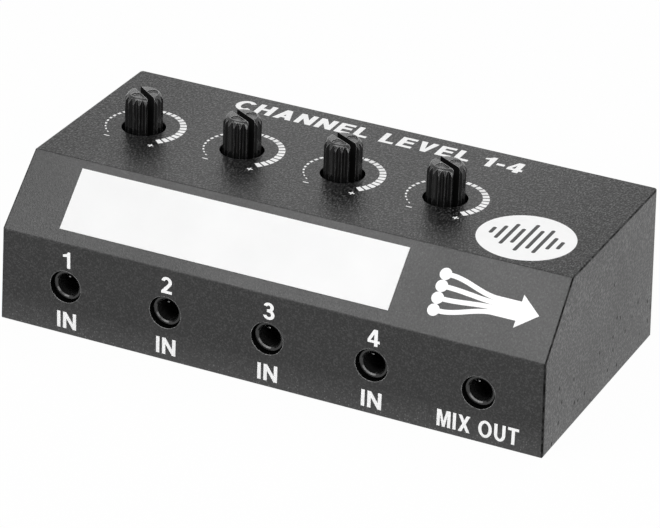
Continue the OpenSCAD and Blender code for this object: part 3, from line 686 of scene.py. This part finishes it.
for number, joint in enumerate(frame["joints"], 1):
    low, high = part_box(f"pot_{number}_shaft")
    points, faces, walls = shaft_half(high[2], DIMPLE_ASIDE)
    twin, _, _ = shaft_half(high[2], -DIMPLE_ASIDE)
    marks = np.concatenate([walls, (0, 0), walls])
    parts = [(points, faces)] + turned([(twin, faces)], 180, (0, 0)) + [shaft_foot(low[2], high[2])]
    parts = turned(parts, MIDDLE_TURN + joint["range_deg"][0], joint["pos_m"])
    shaft = make_object(f"toothed_shaft_{number}", *joined(parts), sharp_angle=15)
    mark_faces(shaft, SLOT_MARK, marks)
    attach(shaft, f"control_{number}")
    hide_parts(f"pot_{number}_shaft")
    wear(shaft, shaft_finish)
print("shaft faces each:", len(shaft.data.polygons))

# %% [markdown]
# ## Lips of the jacks
# The nose of each jack ends in a bevelled lip, so that a plug finds its way in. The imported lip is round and
# cut into facets, and a lamp would break up on them. A smooth ring stands a hair in front of it: its face and
# its bevels touch a circle of the same radius, and the inner bevel carries a clean arc of light. The section
# has six corners, worked out from the tilt of the bevel, and is turned round the axis of the bore.

# %% Jack lips
LIP_RADIUS, LIP_PROUD, LIP_INSIDE, LIP_BACK = 0.35 * MM, 0.02 * MM, 0.005 * MM, 0.1 * MM
LIP_TILT = np.radians(46.5)


def lip_section():
    """Corners (u, w), outwards and backwards, of lines that touch a circle at the tilt and in front."""
    wall = LIP_RADIUS - LIP_INSIDE
    side = (wall * np.sin(LIP_TILT) - LIP_RADIUS) / np.cos(LIP_TILT)
    crest = (LIP_RADIUS - LIP_RADIUS * np.cos(LIP_TILT)) / np.sin(LIP_TILT)
    return np.array([(-wall, LIP_BACK), (-wall, side), (-crest, -LIP_RADIUS),
                     (crest, -LIP_RADIUS), (wall, side), (wall, LIP_BACK)])


def turned_ring(centre, radius, section, around=144):
    """centre + ((radius + u) cos a, w, (radius + u) sin a) for every corner (u, w) of a closed section."""
    a = np.linspace(0, 2 * np.pi, around, endpoint=False)
    u, w = section.T[..., None]
    points = np.stack([(radius + u) * np.cos(a), w + 0 * a, (radius + u) * np.sin(a)], 2)
    here, down = np.arange(around), around * np.arange(len(section))[:, None]
    after, below = np.roll(here, -1), np.roll(down, -1, 0)
    faces = np.stack([down + here, below + here, below + after, down + after], 2)
    return (centre + points).reshape(-1, 3), faces.reshape(-1, 4).tolist()


JACKS = ["jack_1", "jack_2", "jack_3", "jack_4", "jack_out"]
bores = [m["dims"]["r_mm"] * MM for m in frame["record"]["mounts"] if m["kind"] == "bore"]
for jack, place, bore in zip(JACKS, jack_places, bores):
    nose_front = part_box(f"{jack}_body")[0][1]
    centre = (place[0], nose_front + LIP_RADIUS - LIP_PROUD, place[2])
    lip = make_object(f"{jack}_lip", *turned_ring(centre, bore + LIP_RADIUS, lip_section()), sharp_angle=30)
    wear(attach(lip, "mixer"), jack_finish)
print("jack lips:", len(JACKS))

# %% [markdown]
# ## Contact springs in the jacks
# The sleeve contact of each jack ends in a small bow that presses on the plug; deep in the dark bore it is
# the only thing that catches light. It is half an egg that bulges from the contact pad into the bore: one
# angle runs round it and the other from its rim to its crest.

# %% Contact bows
BOW_HALF = np.array([0.5, 0.14, 0.2]) * MM
BOW_INSET, BOW_LOW = 0.1 * MM, 0.55 * MM
CREST_ANGLE = 0.48 * np.pi  # just short of the pole, so that the crest is a small flat cap


def half_egg(centre, half, around=24, levels=9):
    """centre + half (sin b, cos b cos a, cos b sin a): a goes round, b from the rim at 0 to the crest."""
    a = np.linspace(0, 2 * np.pi, around, endpoint=False)
    b = np.linspace(0, CREST_ANGLE, levels)[:, None]
    shape = np.stack([np.sin(b) + 0 * a, np.cos(b) * np.cos(a), np.cos(b) * np.sin(a)], 2)
    return (centre + shape * half).reshape(-1, 3), tube_faces(levels, around)


for jack, place in zip(JACKS, jack_places):
    low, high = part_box(f"{jack}_sleeve")
    centre = (high[0], low[1] + BOW_INSET, place[2] - BOW_LOW)
    bow = make_object(f"{jack}_bow", *half_egg(centre, BOW_HALF), sharp_angle=60)
    wear(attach(bow, "mixer"), plated)
print("contact bows:", len(JACKS))

# %% [markdown]
# ## White ink
# The printing is a thick white screen ink. It is nearly flat, but at the edge it has a real step of about a
# hundredth of a millimetre, so every print is a thin solid. The ink is a little uneven and has pinholes
# where a pit of the plastic was too deep to fill.

# %% White ink
INK_CLOUD, INK_GRAIN, INK_PEEL, INK_DEPTH = 2.5 * MM, 0.25 * MM, 0.22 * MM, 0.012 * MM
PINHOLE_SPACING, PINHOLE_SIZE, PINHOLE_SHARE = 0.7 * MM, 0.05 * MM, 0.12
INK_TONES, PINHOLE_TONE, INK_ROUGH = (grey(0.93), grey(0.96)), grey(0.30), (0.42, 0.6)


def white_ink():
    f = Finish("white_screen_ink")
    tone = f.blend(f.spread(f.noise(INK_CLOUD, 2)), *INK_TONES)
    tone = f.blend(f.specks(PINHOLE_SPACING, PINHOLE_SIZE, PINHOLE_SHARE), tone, PINHOLE_TONE)
    rough = f.spread(f.noise(INK_GRAIN), *INK_ROUGH)
    return f.look(tone, rough, f.bump(f.noise(INK_PEEL, 3), INK_DEPTH))


ink = white_ink()
print("ink:", ink.name)

# %% [markdown]
# ## Level scales round the controls
# Each control has a ring of marks that grow from thin dashes at the low end to bars at the high end. A mark
# is a piece of a ring: the angle runs across its width and the radius across its length, so its corners
# are radius times (sine, cosine) of an angle counted clockwise from the back. Width and length are simple
# functions of how far along the scale the mark is, and all marks of a ring are one array.

# %% Level scales
SCALE_RADIUS = 6.05 * MM
SCALE_BACK = 0.25 * MM
SCALE_MARKS = 28
SCALE_FROM, SCALE_TO = np.radians((-138, 130))
MARK_WIDE, MARK_WIDENS, WIDENS_UNTIL = 0.42 * MM, 0.36 * MM, 0.5
MARK_LONG, MARK_LENGTHENS, LENGTHENS_BY = 0.2 * MM, 1.15 * MM, 1.15
ARC_POINTS = 5


def scale_outlines(centre):
    """Ring pieces: corner = centre + r (sin a, cos a), with width and length growing along the scale."""
    share = np.linspace(0, 1, SCALE_MARKS)[:, None]
    width = (MARK_WIDE + MARK_WIDENS * np.minimum(1, share / WIDENS_UNTIL)) / SCALE_RADIUS
    length = MARK_LONG + MARK_LENGTHENS * share**LENGTHENS_BY
    across = np.linspace(-0.5, 0.5, ARC_POINTS)
    angle = SCALE_FROM + (SCALE_TO - SCALE_FROM) * share + width * np.concatenate([across, across[::-1]])
    radius = SCALE_RADIUS + length * np.repeat([0.5, -0.5], ARC_POINTS)
    ring = np.stack([np.sin(angle), np.cos(angle)], 2) * radius[..., None]
    return (centre + ring)[:, ::-1]


scale_centres = [place[:2] + (0, SCALE_BACK) for place in control_places]
for number, centre in enumerate(scale_centres, 1):
    wear(print_on(f"level_scale_{number}", "top", [scale_outlines(centre)]), ink)
print("marks on each scale:", SCALE_MARKS)

# %% Minus and plus signs at the ends of the scales
SIGN_LONG, SIGN_WIDE = 0.95 * MM, 0.22 * MM
MINUS_AT, PLUS_AT = np.radians((-149, 144.5))
MINUS_RADIUS, PLUS_RADIUS = 6.8 * MM, 7.15 * MM


def bar(centre, width, height):
    """Four corners of a bar, anticlockwise."""
    corners = 0.5 * np.array([(-1, -1), (1, -1), (1, 1), (-1, 1)])
    return centre + corners * (width, height)


stub = (SIGN_LONG - SIGN_WIDE) / 2
aside = np.array([0, (stub + SIGN_WIDE) / 2])
for number, centre in enumerate(scale_centres, 1):
    low_end = centre + MINUS_RADIUS * np.array([np.sin(MINUS_AT), np.cos(MINUS_AT)])
    high_end = centre + PLUS_RADIUS * np.array([np.sin(PLUS_AT), np.cos(PLUS_AT)])
    signs = [bar(low_end, SIGN_LONG, SIGN_WIDE), bar(high_end, SIGN_LONG, SIGN_WIDE),
             bar(high_end + aside, SIGN_WIDE, stub), bar(high_end - aside, SIGN_WIDE, stub)]
    wear(print_on(f"level_signs_{number}", "top", [signs]), ink)
print("signs at", len(scale_centres), "controls")

# %% [markdown]
# ## Numbers and words
# A text object would be quick, but a thickened font crosses itself and the crossings show in the render.
# A plain bold alphabet needs only a few shapes, so each letter is drawn here as outlines on a cap height of
# 1: straight strokes as corners, round strokes as a band between an outer and an inner arc. Stem and bar
# width are arguments, so one alphabet serves all weights. Outlines of a letter touch but never overlap.

# %% Letters of straight strokes


def straight_letters(s, t):
    """Letters of straight strokes: name to (width, outlines), for stems s wide and bars t high."""
    foot, cut = 1.1 * s, 1 - 1.9 * s
    bar_low, bar_high = 0.53 - t / 2, 0.53 + t / 2
    apex, lean = (0.42 - 1.05 * s) / (0.42 - 0.52 * s), 0.42 - 0.52 * s
    notch, waist = (0.41 - foot) / (0.82 - foot), foot + 0.5 * (0.82 - foot)
    sill = 1.05 * s + lean * np.array([0.19, 0.19 + 0.9 * t])
    return {
        "I": (s, [[(0, 0), (s, 0), (s, 1), (0, 1)]]),
        "L": (0.66, [[(0, 0), (0.66, 0), (0.66, t), (s, t), (s, 1), (0, 1)]]),
        "T": (0.76, [[(0.38 - s / 2, 0), (0.38 + s / 2, 0), (0.38 + s / 2, 1 - t), (0.76, 1 - t), (0.76, 1),
                      (0, 1), (0, 1 - t), (0.38 - s / 2, 1 - t)]]),
        "H": (0.8, [[(0, 0), (s, 0), (s, bar_low), (0.8 - s, bar_low), (0.8 - s, 0), (0.8, 0), (0.8, 1),
                     (0.8 - s, 1), (0.8 - s, bar_high), (s, bar_high), (s, 1), (0, 1)]]),
        "E": (0.7, [[(0, 0), (0.7, 0), (0.7, t), (s, t), (s, bar_low), (0.65, bar_low), (0.65, bar_high),
                     (s, bar_high), (s, 1 - t), (0.69, 1 - t), (0.69, 1), (0, 1)]]),
        "N": (0.8, [[(0, 0), (s, 0), (s, cut), (0.8 - s, 0), (0.8, 0), (0.8, 1), (0.8 - s, 1),
                     (0.8 - s, 1 - cut), (s, 1), (0, 1)]]),
        "M": (0.96, [[(0, 0), (s, 0), (s, 0.7), (0.48 - 0.42 * s, 0), (0.48 + 0.42 * s, 0), (0.96 - s, 0.7),
                      (0.96 - s, 0), (0.96, 0), (0.96, 1), (0.96 - 1.35 * s, 1), (0.48, 0.36), (1.35 * s, 1),
                      (0, 1)]]),
        "V": (0.8, [[(0.4 - s / 2, 0), (0.4 + s / 2, 0), (0.8, 1), (0.8 - foot, 1), (0.4, 0.3), (foot, 1),
                     (0, 1)]]),
        "A": (0.84, [[(0, 0), (1.05 * s, 0), (0.42, apex), (0.84 - 1.05 * s, 0), (0.84, 0),
                      (0.42 + 0.52 * s, 1), (0.42 - 0.52 * s, 1)],
                     [(sill[0], 0.19), (0.84 - sill[0], 0.19), (0.84 - sill[1], 0.19 + 0.9 * t),
                      (sill[1], 0.19 + 0.9 * t)]]),
        "X": (0.82, [[(0, 0), (foot, 0), (0.41, notch), (0.82 - foot, 0), (0.82, 0), (waist, 0.5), (0.82, 1),
                      (0.82 - foot, 1), (0.41, 1 - notch), (foot, 1), (0, 1), (0.82 - waist, 0.5)]]),
        "-": (0.36, [[(0, 0.34), (0.36, 0.34), (0.36, 0.34 + t), (0, 0.34 + t)]]),
    }


# %% Letters and figures with bent strokes


def arc(centre, radii, start, end, points=13):
    """Points of an ellipse: centre + radii (cos a, sin a), for a from start to end degrees."""
    angle = np.radians(np.linspace(start, end, points))
    return np.array(centre) + np.stack([radii[0] * np.cos(angle), radii[1] * np.sin(angle)], 1)


def band(centre, radii, thick, start, end):
    """A bent stroke: the outer arc one way, and back along an arc that lies one stroke further in."""
    inner = (radii[0] - thick[0], radii[1] - thick[1])
    return np.concatenate([arc(centre, radii, start, end), arc(centre, inner, end, start)])


def round_letters(s, t):
    """Letters and figures with bent strokes, in the same form."""
    stroke = (s, t)
    bowl_u = np.concatenate([[(0, 1)], arc((0.39, 0.4), (0.39, 0.41), 180, 360), [(0.78, 1), (0.78 - s, 1)],
                             arc((0.39, 0.4), (0.39 - s, 0.41 - t), 360, 180), [(s, 1)]])
    two = np.concatenate([arc((0.32, 0.7), (0.32, 0.31), 168, -38),
                          [(0.3, t), (0.64, t), (0.64, 0), (0, 0), (0, 0.13)],
                          arc((0.32, 0.7), (0.32 - s, 0.31 - t), -38, 168)])
    three = np.concatenate([arc((0.31, 0.735), (0.3, 0.28), 165, -38),
                            arc((0.32, 0.29), (0.34, 0.305), 48, -165),
                            arc((0.32, 0.29), (0.34 - s, 0.305 - t), -165, 75), [(0.21, 0.44), (0.21, 0.6)],
                            arc((0.31, 0.735), (0.3 - s, 0.28 - t), -75, 165)])
    stem, low, high = 0.58 - s, 0.19, 0.19 + 0.95 * t
    four = [(stem, 0), (0.58, 0), (0.58, low), (0.7, low), (0.7, high), (0.58, high), (0.58, 1),
            (stem - 0.04, 1), (stem, 0.72), (stem, high), (0.18, high), (0, high + 0.02),
            (0, low), (stem, low)]
    flag = [(0.46 - s, 0), (0.46, 0), (0.46, 1), (0.46 - 0.7 * s, 1), (0.44 - s, 0.88), (0, 0.8), (0, 0.66),
            (0.46 - s, 0.7)]
    return {
        "O": (0.94, [band((0.47, 0.5), (0.47, 0.515), stroke, side, side + 180) for side in (90, -90)]),
        "C": (0.84, [band((0.46, 0.5), (0.46, 0.515), stroke, 40, 320)]),
        "U": (0.78, [bowl_u]),
        "1": (0.46, [flag]),
        "2": (0.64, [two]),
        "3": (0.66, [three]),
        "4": (0.7, [four, [(0, high + 0.02), (0.18, high), (stem, 0.72), (stem - 0.04, 1)]]),
    }


# %% [markdown]
# A line of text is laid out letter by letter with an even gap, measured, and scaled to its cap height and
# to the width of its place. An outline that runs clockwise is turned round, so all faces point outwards.

# %% Lines of text
LETTER_GAP, WORD_GAP = 0.16, 0.42


def anticlockwise(outline):
    """The outline with its corners in anticlockwise order, by the sign of its area."""
    x, y = outline.T
    area = np.sum(x * np.roll(y, -1) - y * np.roll(x, -1))
    return outline if area > 0 else outline[::-1]


def lettering(name, words, panel, place, size, weight):
    """A line of text with the middle of its base line at place, and its width and cap height as size."""
    alphabet = {**straight_letters(*weight), **round_letters(*weight)}
    outlines, pen = [], 0.0
    for letter in words:
        advance, shapes = alphabet.get(letter, (WORD_GAP - LETTER_GAP, []))
        outlines += [np.array(shape) + (pen, 0) for shape in shapes]
        pen += advance + LETTER_GAP
    width, cap = size
    scale = np.array([width / (pen - LETTER_GAP), cap])
    start = np.array(place) - (width / 2, 0)
    placed = [anticlockwise(shape * scale + start) for shape in outlines]
    return wear(print_on(name, panel, [shape[None] for shape in placed]), ink)


# %% Numbers and words on the panels
FRONT_CAP, LEGEND_CAP = 2.75 * MM, 3.5 * MM
FRONT_WEIGHT, OUTPUT_WEIGHT, LEGEND_WEIGHT = (0.20, 0.165), (0.22, 0.165), (0.25, 0.19)
NUMBER_BASE, WORD_BASE = 11.35 * MM, 1.05 * MM
NUMBER_WIDTHS = np.array([1.25, 1.8, 1.85, 1.95]) * MM
INPUT_WIDTH, OUTPUT_WIDTH, LEGEND_WIDTH = 3.3 * MM, 13 * MM, 49.2 * MM
LEGEND_PLACE = (-0.6 * MM, 15.85 * MM)
PRINT_SHIFT = 0.2 * MM
*input_x, output_x = [place[0] + PRINT_SHIFT for place in jack_places]
for number, (x, wide) in enumerate(zip(input_x, NUMBER_WIDTHS), 1):
    lettering(f"channel_number_{number}", str(number), "front",
              (x, NUMBER_BASE), (wide, FRONT_CAP), FRONT_WEIGHT)
    lettering(f"input_word_{number}", "IN", "front", (x, WORD_BASE), (INPUT_WIDTH, FRONT_CAP), FRONT_WEIGHT)
lettering("output_word", "MIX OUT", "front", (output_x, WORD_BASE), (OUTPUT_WIDTH, FRONT_CAP), OUTPUT_WEIGHT)
lettering("level_legend", "CHANNEL LEVEL 1-4", "top", LEGEND_PLACE, (LEGEND_WIDTH, LEGEND_CAP), LEGEND_WEIGHT)
print("lines of text:", 2 * len(input_x) + 2)

# %% [markdown]
# ## A round print with level bars
# A white disc is printed on the top at the right, with dark bars of different heights in it. The disc is one
# outline with many corners; a bar is a rounded outline, two straight sides and two half circles. The bars
# are a second thin layer, a hair prouder than the white, so that the two never lie in the same plane.

# %% Disc and bars
DISC_CENTRE = np.array([33.45, -3.9]) * MM
DISC_RADIUS = 7.5 * MM
DISC_CORNERS = 96
BAR_HEIGHTS = np.array([2.2, 4.6, 7.4, 5.2, 9.6, 6.6, 8.4, 4.2, 2.6]) * MM
BAR_STEP, BAR_WIDE = 1.35 * MM, 0.6 * MM
BAR_PROUD = 0.02 * MM
ROUND_POINTS = 9


def circle_outline(centre, radius, corners):
    """corner = centre + radius (cos a, sin a), anticlockwise."""
    return arc(centre, (radius, radius), 0, 360 - 360 / corners, corners)


def steps_about_zero(count):
    """Whole steps with their middle at zero: 0, 1, 2 and so on, less half of the last."""
    return np.arange(count) - (count - 1) / 2


def round_bars(centres, heights, width):
    """Upright bars with half-round ends: a half circle lifted by half the straight part, and its mirror."""
    cap = arc((0, 0), (width / 2, width / 2), 0, 180, ROUND_POINTS)
    lift = np.zeros((len(heights), 1, 2))
    lift[:, 0, 1] = (heights - width) / 2
    return centres[:, None] + np.concatenate([cap + lift, -cap - lift], 1)


wear(print_on("round_print", "top", [circle_outline(DISC_CENTRE, DISC_RADIUS, DISC_CORNERS)[None]]), ink)
bar_centres = np.zeros((len(BAR_HEIGHTS), 2))
bar_centres[:, 0] = steps_about_zero(len(BAR_HEIGHTS)) * BAR_STEP
bar_outlines = round_bars(DISC_CENTRE + bar_centres, BAR_HEIGHTS, BAR_WIDE)
dark_ink = uneven("dark_screen_ink", grey(0.03), grey(0.05), 0.5)
wear(print_on("round_print_bars", "top", [bar_outlines], BAR_PROUD), dark_ink)
print("bars in the disc:", len(BAR_HEIGHTS))

# %% [markdown]
# ## A mixing sign on the slope
# Beside the label is a plain sign for what the box does: four lines run together into one. Each line is a
# ribbon: a path from left to right whose height eases from its own level to the level of the trunk, with
# the two edges half a width to either side. The four ribbons end side by side on the trunk, so that no two
# of them cover the same spot, and the dots begin where the ribbons begin.

# %% Mixing sign
SIGN_LEFT, SIGN_JOIN, SIGN_RIGHT = 26.6 * MM, 34.6 * MM, 38.2 * MM
SIGN_LEVELS = np.array([3.9, 5.8, 7.7, 9.6]) * MM
SIGN_LINE = 0.75 * MM
SIGN_STEPS = 32
DOT_RADIUS, DOT_POINTS = 0.95 * MM, 25
ARROW_LONG, ARROW_WIDE = 3.2 * MM, 5.2 * MM


def ribbons(left, right, levels, ends, width):
    """Lines that ease from their levels to their ends by the step 3 t^2 - 2 t^3, as wide all along."""
    share = np.linspace(0, 1, SIGN_STEPS)
    ease = share * share * (3 - 2 * share)
    slope = 6 * share * (1 - share) * (ends - levels)[:, None] / (right - left)
    middle = levels[:, None] + ease * (ends - levels)[:, None]
    half = width / 2 * np.sqrt(1 + slope**2)
    along = np.broadcast_to(left + share * (right - left), middle.shape)
    lower, upper = np.stack([along, middle - half], 2), np.stack([along, middle + half], 2)
    return np.concatenate([lower, upper[:, ::-1]], 1)


common = SIGN_LEVELS.mean()
trunk_levels = common + SIGN_LINE * steps_about_zero(len(SIGN_LEVELS))
lines = ribbons(SIGN_LEFT, SIGN_JOIN, SIGN_LEVELS, trunk_levels, SIGN_LINE)
lean = np.degrees(np.arcsin(SIGN_LINE / 2 / DOT_RADIUS))
dot_shift = DOT_RADIUS * np.cos(np.radians(lean))
dot_x, dot_radii = SIGN_LEFT - dot_shift, (DOT_RADIUS, DOT_RADIUS)
dots = [arc((dot_x, level), dot_radii, lean, 360 - lean, DOT_POINTS) for level in SIGN_LEVELS]
trunk = bar(((SIGN_JOIN + SIGN_RIGHT) / 2, common), SIGN_RIGHT - SIGN_JOIN, len(SIGN_LEVELS) * SIGN_LINE)
arrow = np.array([(0, -ARROW_WIDE / 2), (ARROW_LONG, 0), (0, ARROW_WIDE / 2)]) + (SIGN_RIGHT, common)
wear(print_on("mixing_sign", "slope", [lines, dots, trunk[None], arrow[None]]), ink)
print("mixing sign from", round((dot_x - DOT_RADIUS) / MM, 1), "to",
      round((SIGN_RIGHT + ARROW_LONG) / MM, 1), "mm")

# %% [markdown]
# ## Camera
# The camera is given as a photographer would note it: which way round, how high, how far, how long the
# lens, and the little tilt of the horizon. The three axes of the camera follow from those angles.

# %% Camera at the photograph's angle
CAMERA_AROUND, CAMERA_UP, CAMERA_ROLL = np.radians((24.654, 26.796, 2.122))
CAMERA_LENS, SENSOR_WIDE = 196.98, 36
CLIP_NEAR, CLIP_FAR = 0.02, 20
CAMERA_AWAY = 551.8 * MM
CAMERA_AIM = np.array([0.38, -0.64, 11.03]) * MM


def camera_axes(around, up, roll):
    """Columns right, up and backwards of a camera that looks at the object, rolled about its sight line."""
    back = np.array([np.sin(around) * np.cos(up), -np.cos(around) * np.cos(up), np.sin(up)])
    level = np.array([np.cos(around), np.sin(around), 0])
    above = np.cross(back, level)
    right = np.cos(roll) * level + np.sin(roll) * above
    return np.stack([right, np.cross(back, right), back], 1)


lens = bpy.data.cameras.new("studio_camera")
lens.lens = CAMERA_LENS
lens.sensor_width = SENSOR_WIDE
lens.clip_start, lens.clip_end = CLIP_NEAR, CLIP_FAR
camera = bpy.data.objects.new("studio_camera", lens)
bpy.context.scene.collection.objects.link(camera)
stand = np.eye(4)
stand[:3, :3] = camera_axes(CAMERA_AROUND, CAMERA_UP, CAMERA_ROLL)
stand[:3, 3] = CAMERA_AIM + CAMERA_AWAY * stand[:3, 2]
camera.matrix_world = Matrix(stand.tolist())
bpy.context.scene.camera = camera
print("camera at", [round(v, 4) for v in stand[:3, 3]])

# %% [markdown]
# ## Floor, light and background
# A product photograph on white uses a white sweep and large soft lamps. The floor is a plain white plane
# that still takes the shadow. To the camera, and to anything glossy, floor and surroundings also glow, so
# that they read as white without any more light on the object; the sheen on the plastic is that white seen
# in it. Five lamps stand round the object. The slope mirrors the left softbox. The bevels of the jack lips
# mirror an arc from there to the right, so a tilted strip and the right softbox follow that arc. A weak
# softbox stands low in front, and one behind whitens the printing on the top.

# %% Floor
FLOOR_HALF = 3.0
FLOOR_DROP = -0.02 * MM
FLOOR_GLOW, FLOOR_CLOUD, FLOOR_ROUGH = 0.97, 0.2, 0.8
FLOOR_TONES = (grey(0.80), grey(0.84))


def seen_white(tree):
    """1 for the rays that show the surroundings: straight to the camera, by gloss or through glass."""
    rays = tree.nodes.new("ShaderNodeLightPath")
    total = rays.outputs["Is Camera Ray"]
    for kind in ("Is Glossy Ray", "Is Transmission Ray"):
        larger = tree.nodes.new("ShaderNodeMath")
        larger.operation = "MAXIMUM"
        tree.links.new(total, larger.inputs[0])
        tree.links.new(rays.outputs[kind], larger.inputs[1])
        total = larger.outputs["Value"]
    return total


def white_floor():
    f = Finish("white_sweep")
    cloud = f.noise(FLOOR_CLOUD, 2)
    f.look(f.blend(f.spread(cloud), *FLOOR_TONES), FLOOR_ROUGH)
    glow = f.node("ShaderNodeEmission")
    glow.inputs["Color"].default_value = grey(1.0)
    mix = f.node("ShaderNodeMixShader")
    f.feed(mix.inputs["Fac"], f.math("MULTIPLY", seen_white(f.tree), FLOOR_GLOW))
    f.feed(mix.inputs[1], f.shader.outputs["BSDF"])
    f.feed(mix.inputs[2], glow.outputs["Emission"])
    f.feed(f.tree.nodes["Material Output"].inputs["Surface"], mix.outputs["Shader"])
    return f.material


corners = FLOOR_HALF * np.array([(-1, -1, 0), (1, -1, 0), (1, 1, 0), (-1, 1, 0)])
floor = make_object("floor", corners + (0, 0, FLOOR_DROP), [(0, 1, 2, 3)])
wear(floor, white_floor())
print("floor:", 2 * FLOOR_HALF, "m wide")

# %% World
WORLD_LIGHT = 0.37
world = bpy.data.worlds.new("studio")
bpy.context.scene.world = world
world.use_nodes = True
sky = world.node_tree.nodes["Background"]
sky.inputs["Color"].default_value = grey(1.0)
level = world.node_tree.nodes.new("ShaderNodeMapRange")
level.inputs["To Min"].default_value = WORLD_LIGHT
level.inputs["To Max"].default_value = 1.0
world.node_tree.links.new(seen_white(world.node_tree), level.inputs["Value"])
world.node_tree.links.new(level.outputs["Result"], sky.inputs["Strength"])
print("world light:", WORLD_LIGHT)

# %% Lamps
# Each row is a direction, a distance, a width and height in metres, a roll in degrees and a power in watts.
LAMPS = {
    "left_softbox": ((-0.33, -0.47, 0.82), 0.62, (0.30, 0.20), 0, 0.88),
    "right_strip": ((0.30, -0.50, 0.75), 0.62, (0.62, 0.10), -37, 0.9),
    "right_softbox": ((0.72, -0.60, 0.34), 0.62, (0.22, 0.36), 0, 0.8),
    "front_softbox": ((-0.35, -0.93, 0.10), 0.70, (0.40, 0.40), 0, 0.6),
    "back_softbox": ((0.35, 0.40, 0.85), 0.70, (0.40, 0.40), 0, 1.0),
}


def softbox(name, direction, away, size, roll, power):
    """A lamp of a width and height at a distance along a direction, facing the object, rolled by an angle."""
    lamp = bpy.data.lights.new(name, "AREA")
    lamp.shape, lamp.energy = "RECTANGLE", power
    lamp.size, lamp.size_y = size
    holder = bpy.data.objects.new(name, lamp)
    bpy.context.scene.collection.objects.link(holder)
    back = np.array(direction) / np.linalg.norm(direction)
    level = np.cross((0, 0, 1), back)
    level /= np.linalg.norm(level)
    side = level * np.cos(np.radians(roll)) + np.cross(back, level) * np.sin(np.radians(roll))
    place = np.eye(4)
    place[:3, :3] = np.stack([side, np.cross(back, side), back], 1)
    place[:3, 3] = CAMERA_AIM + away * back
    holder.matrix_world = Matrix(place.tolist())
    return holder


for name, settings in LAMPS.items():
    softbox(name, *settings)
bpy.context.scene.view_settings.view_transform = "Standard"
print("lamps:", ", ".join(LAMPS))
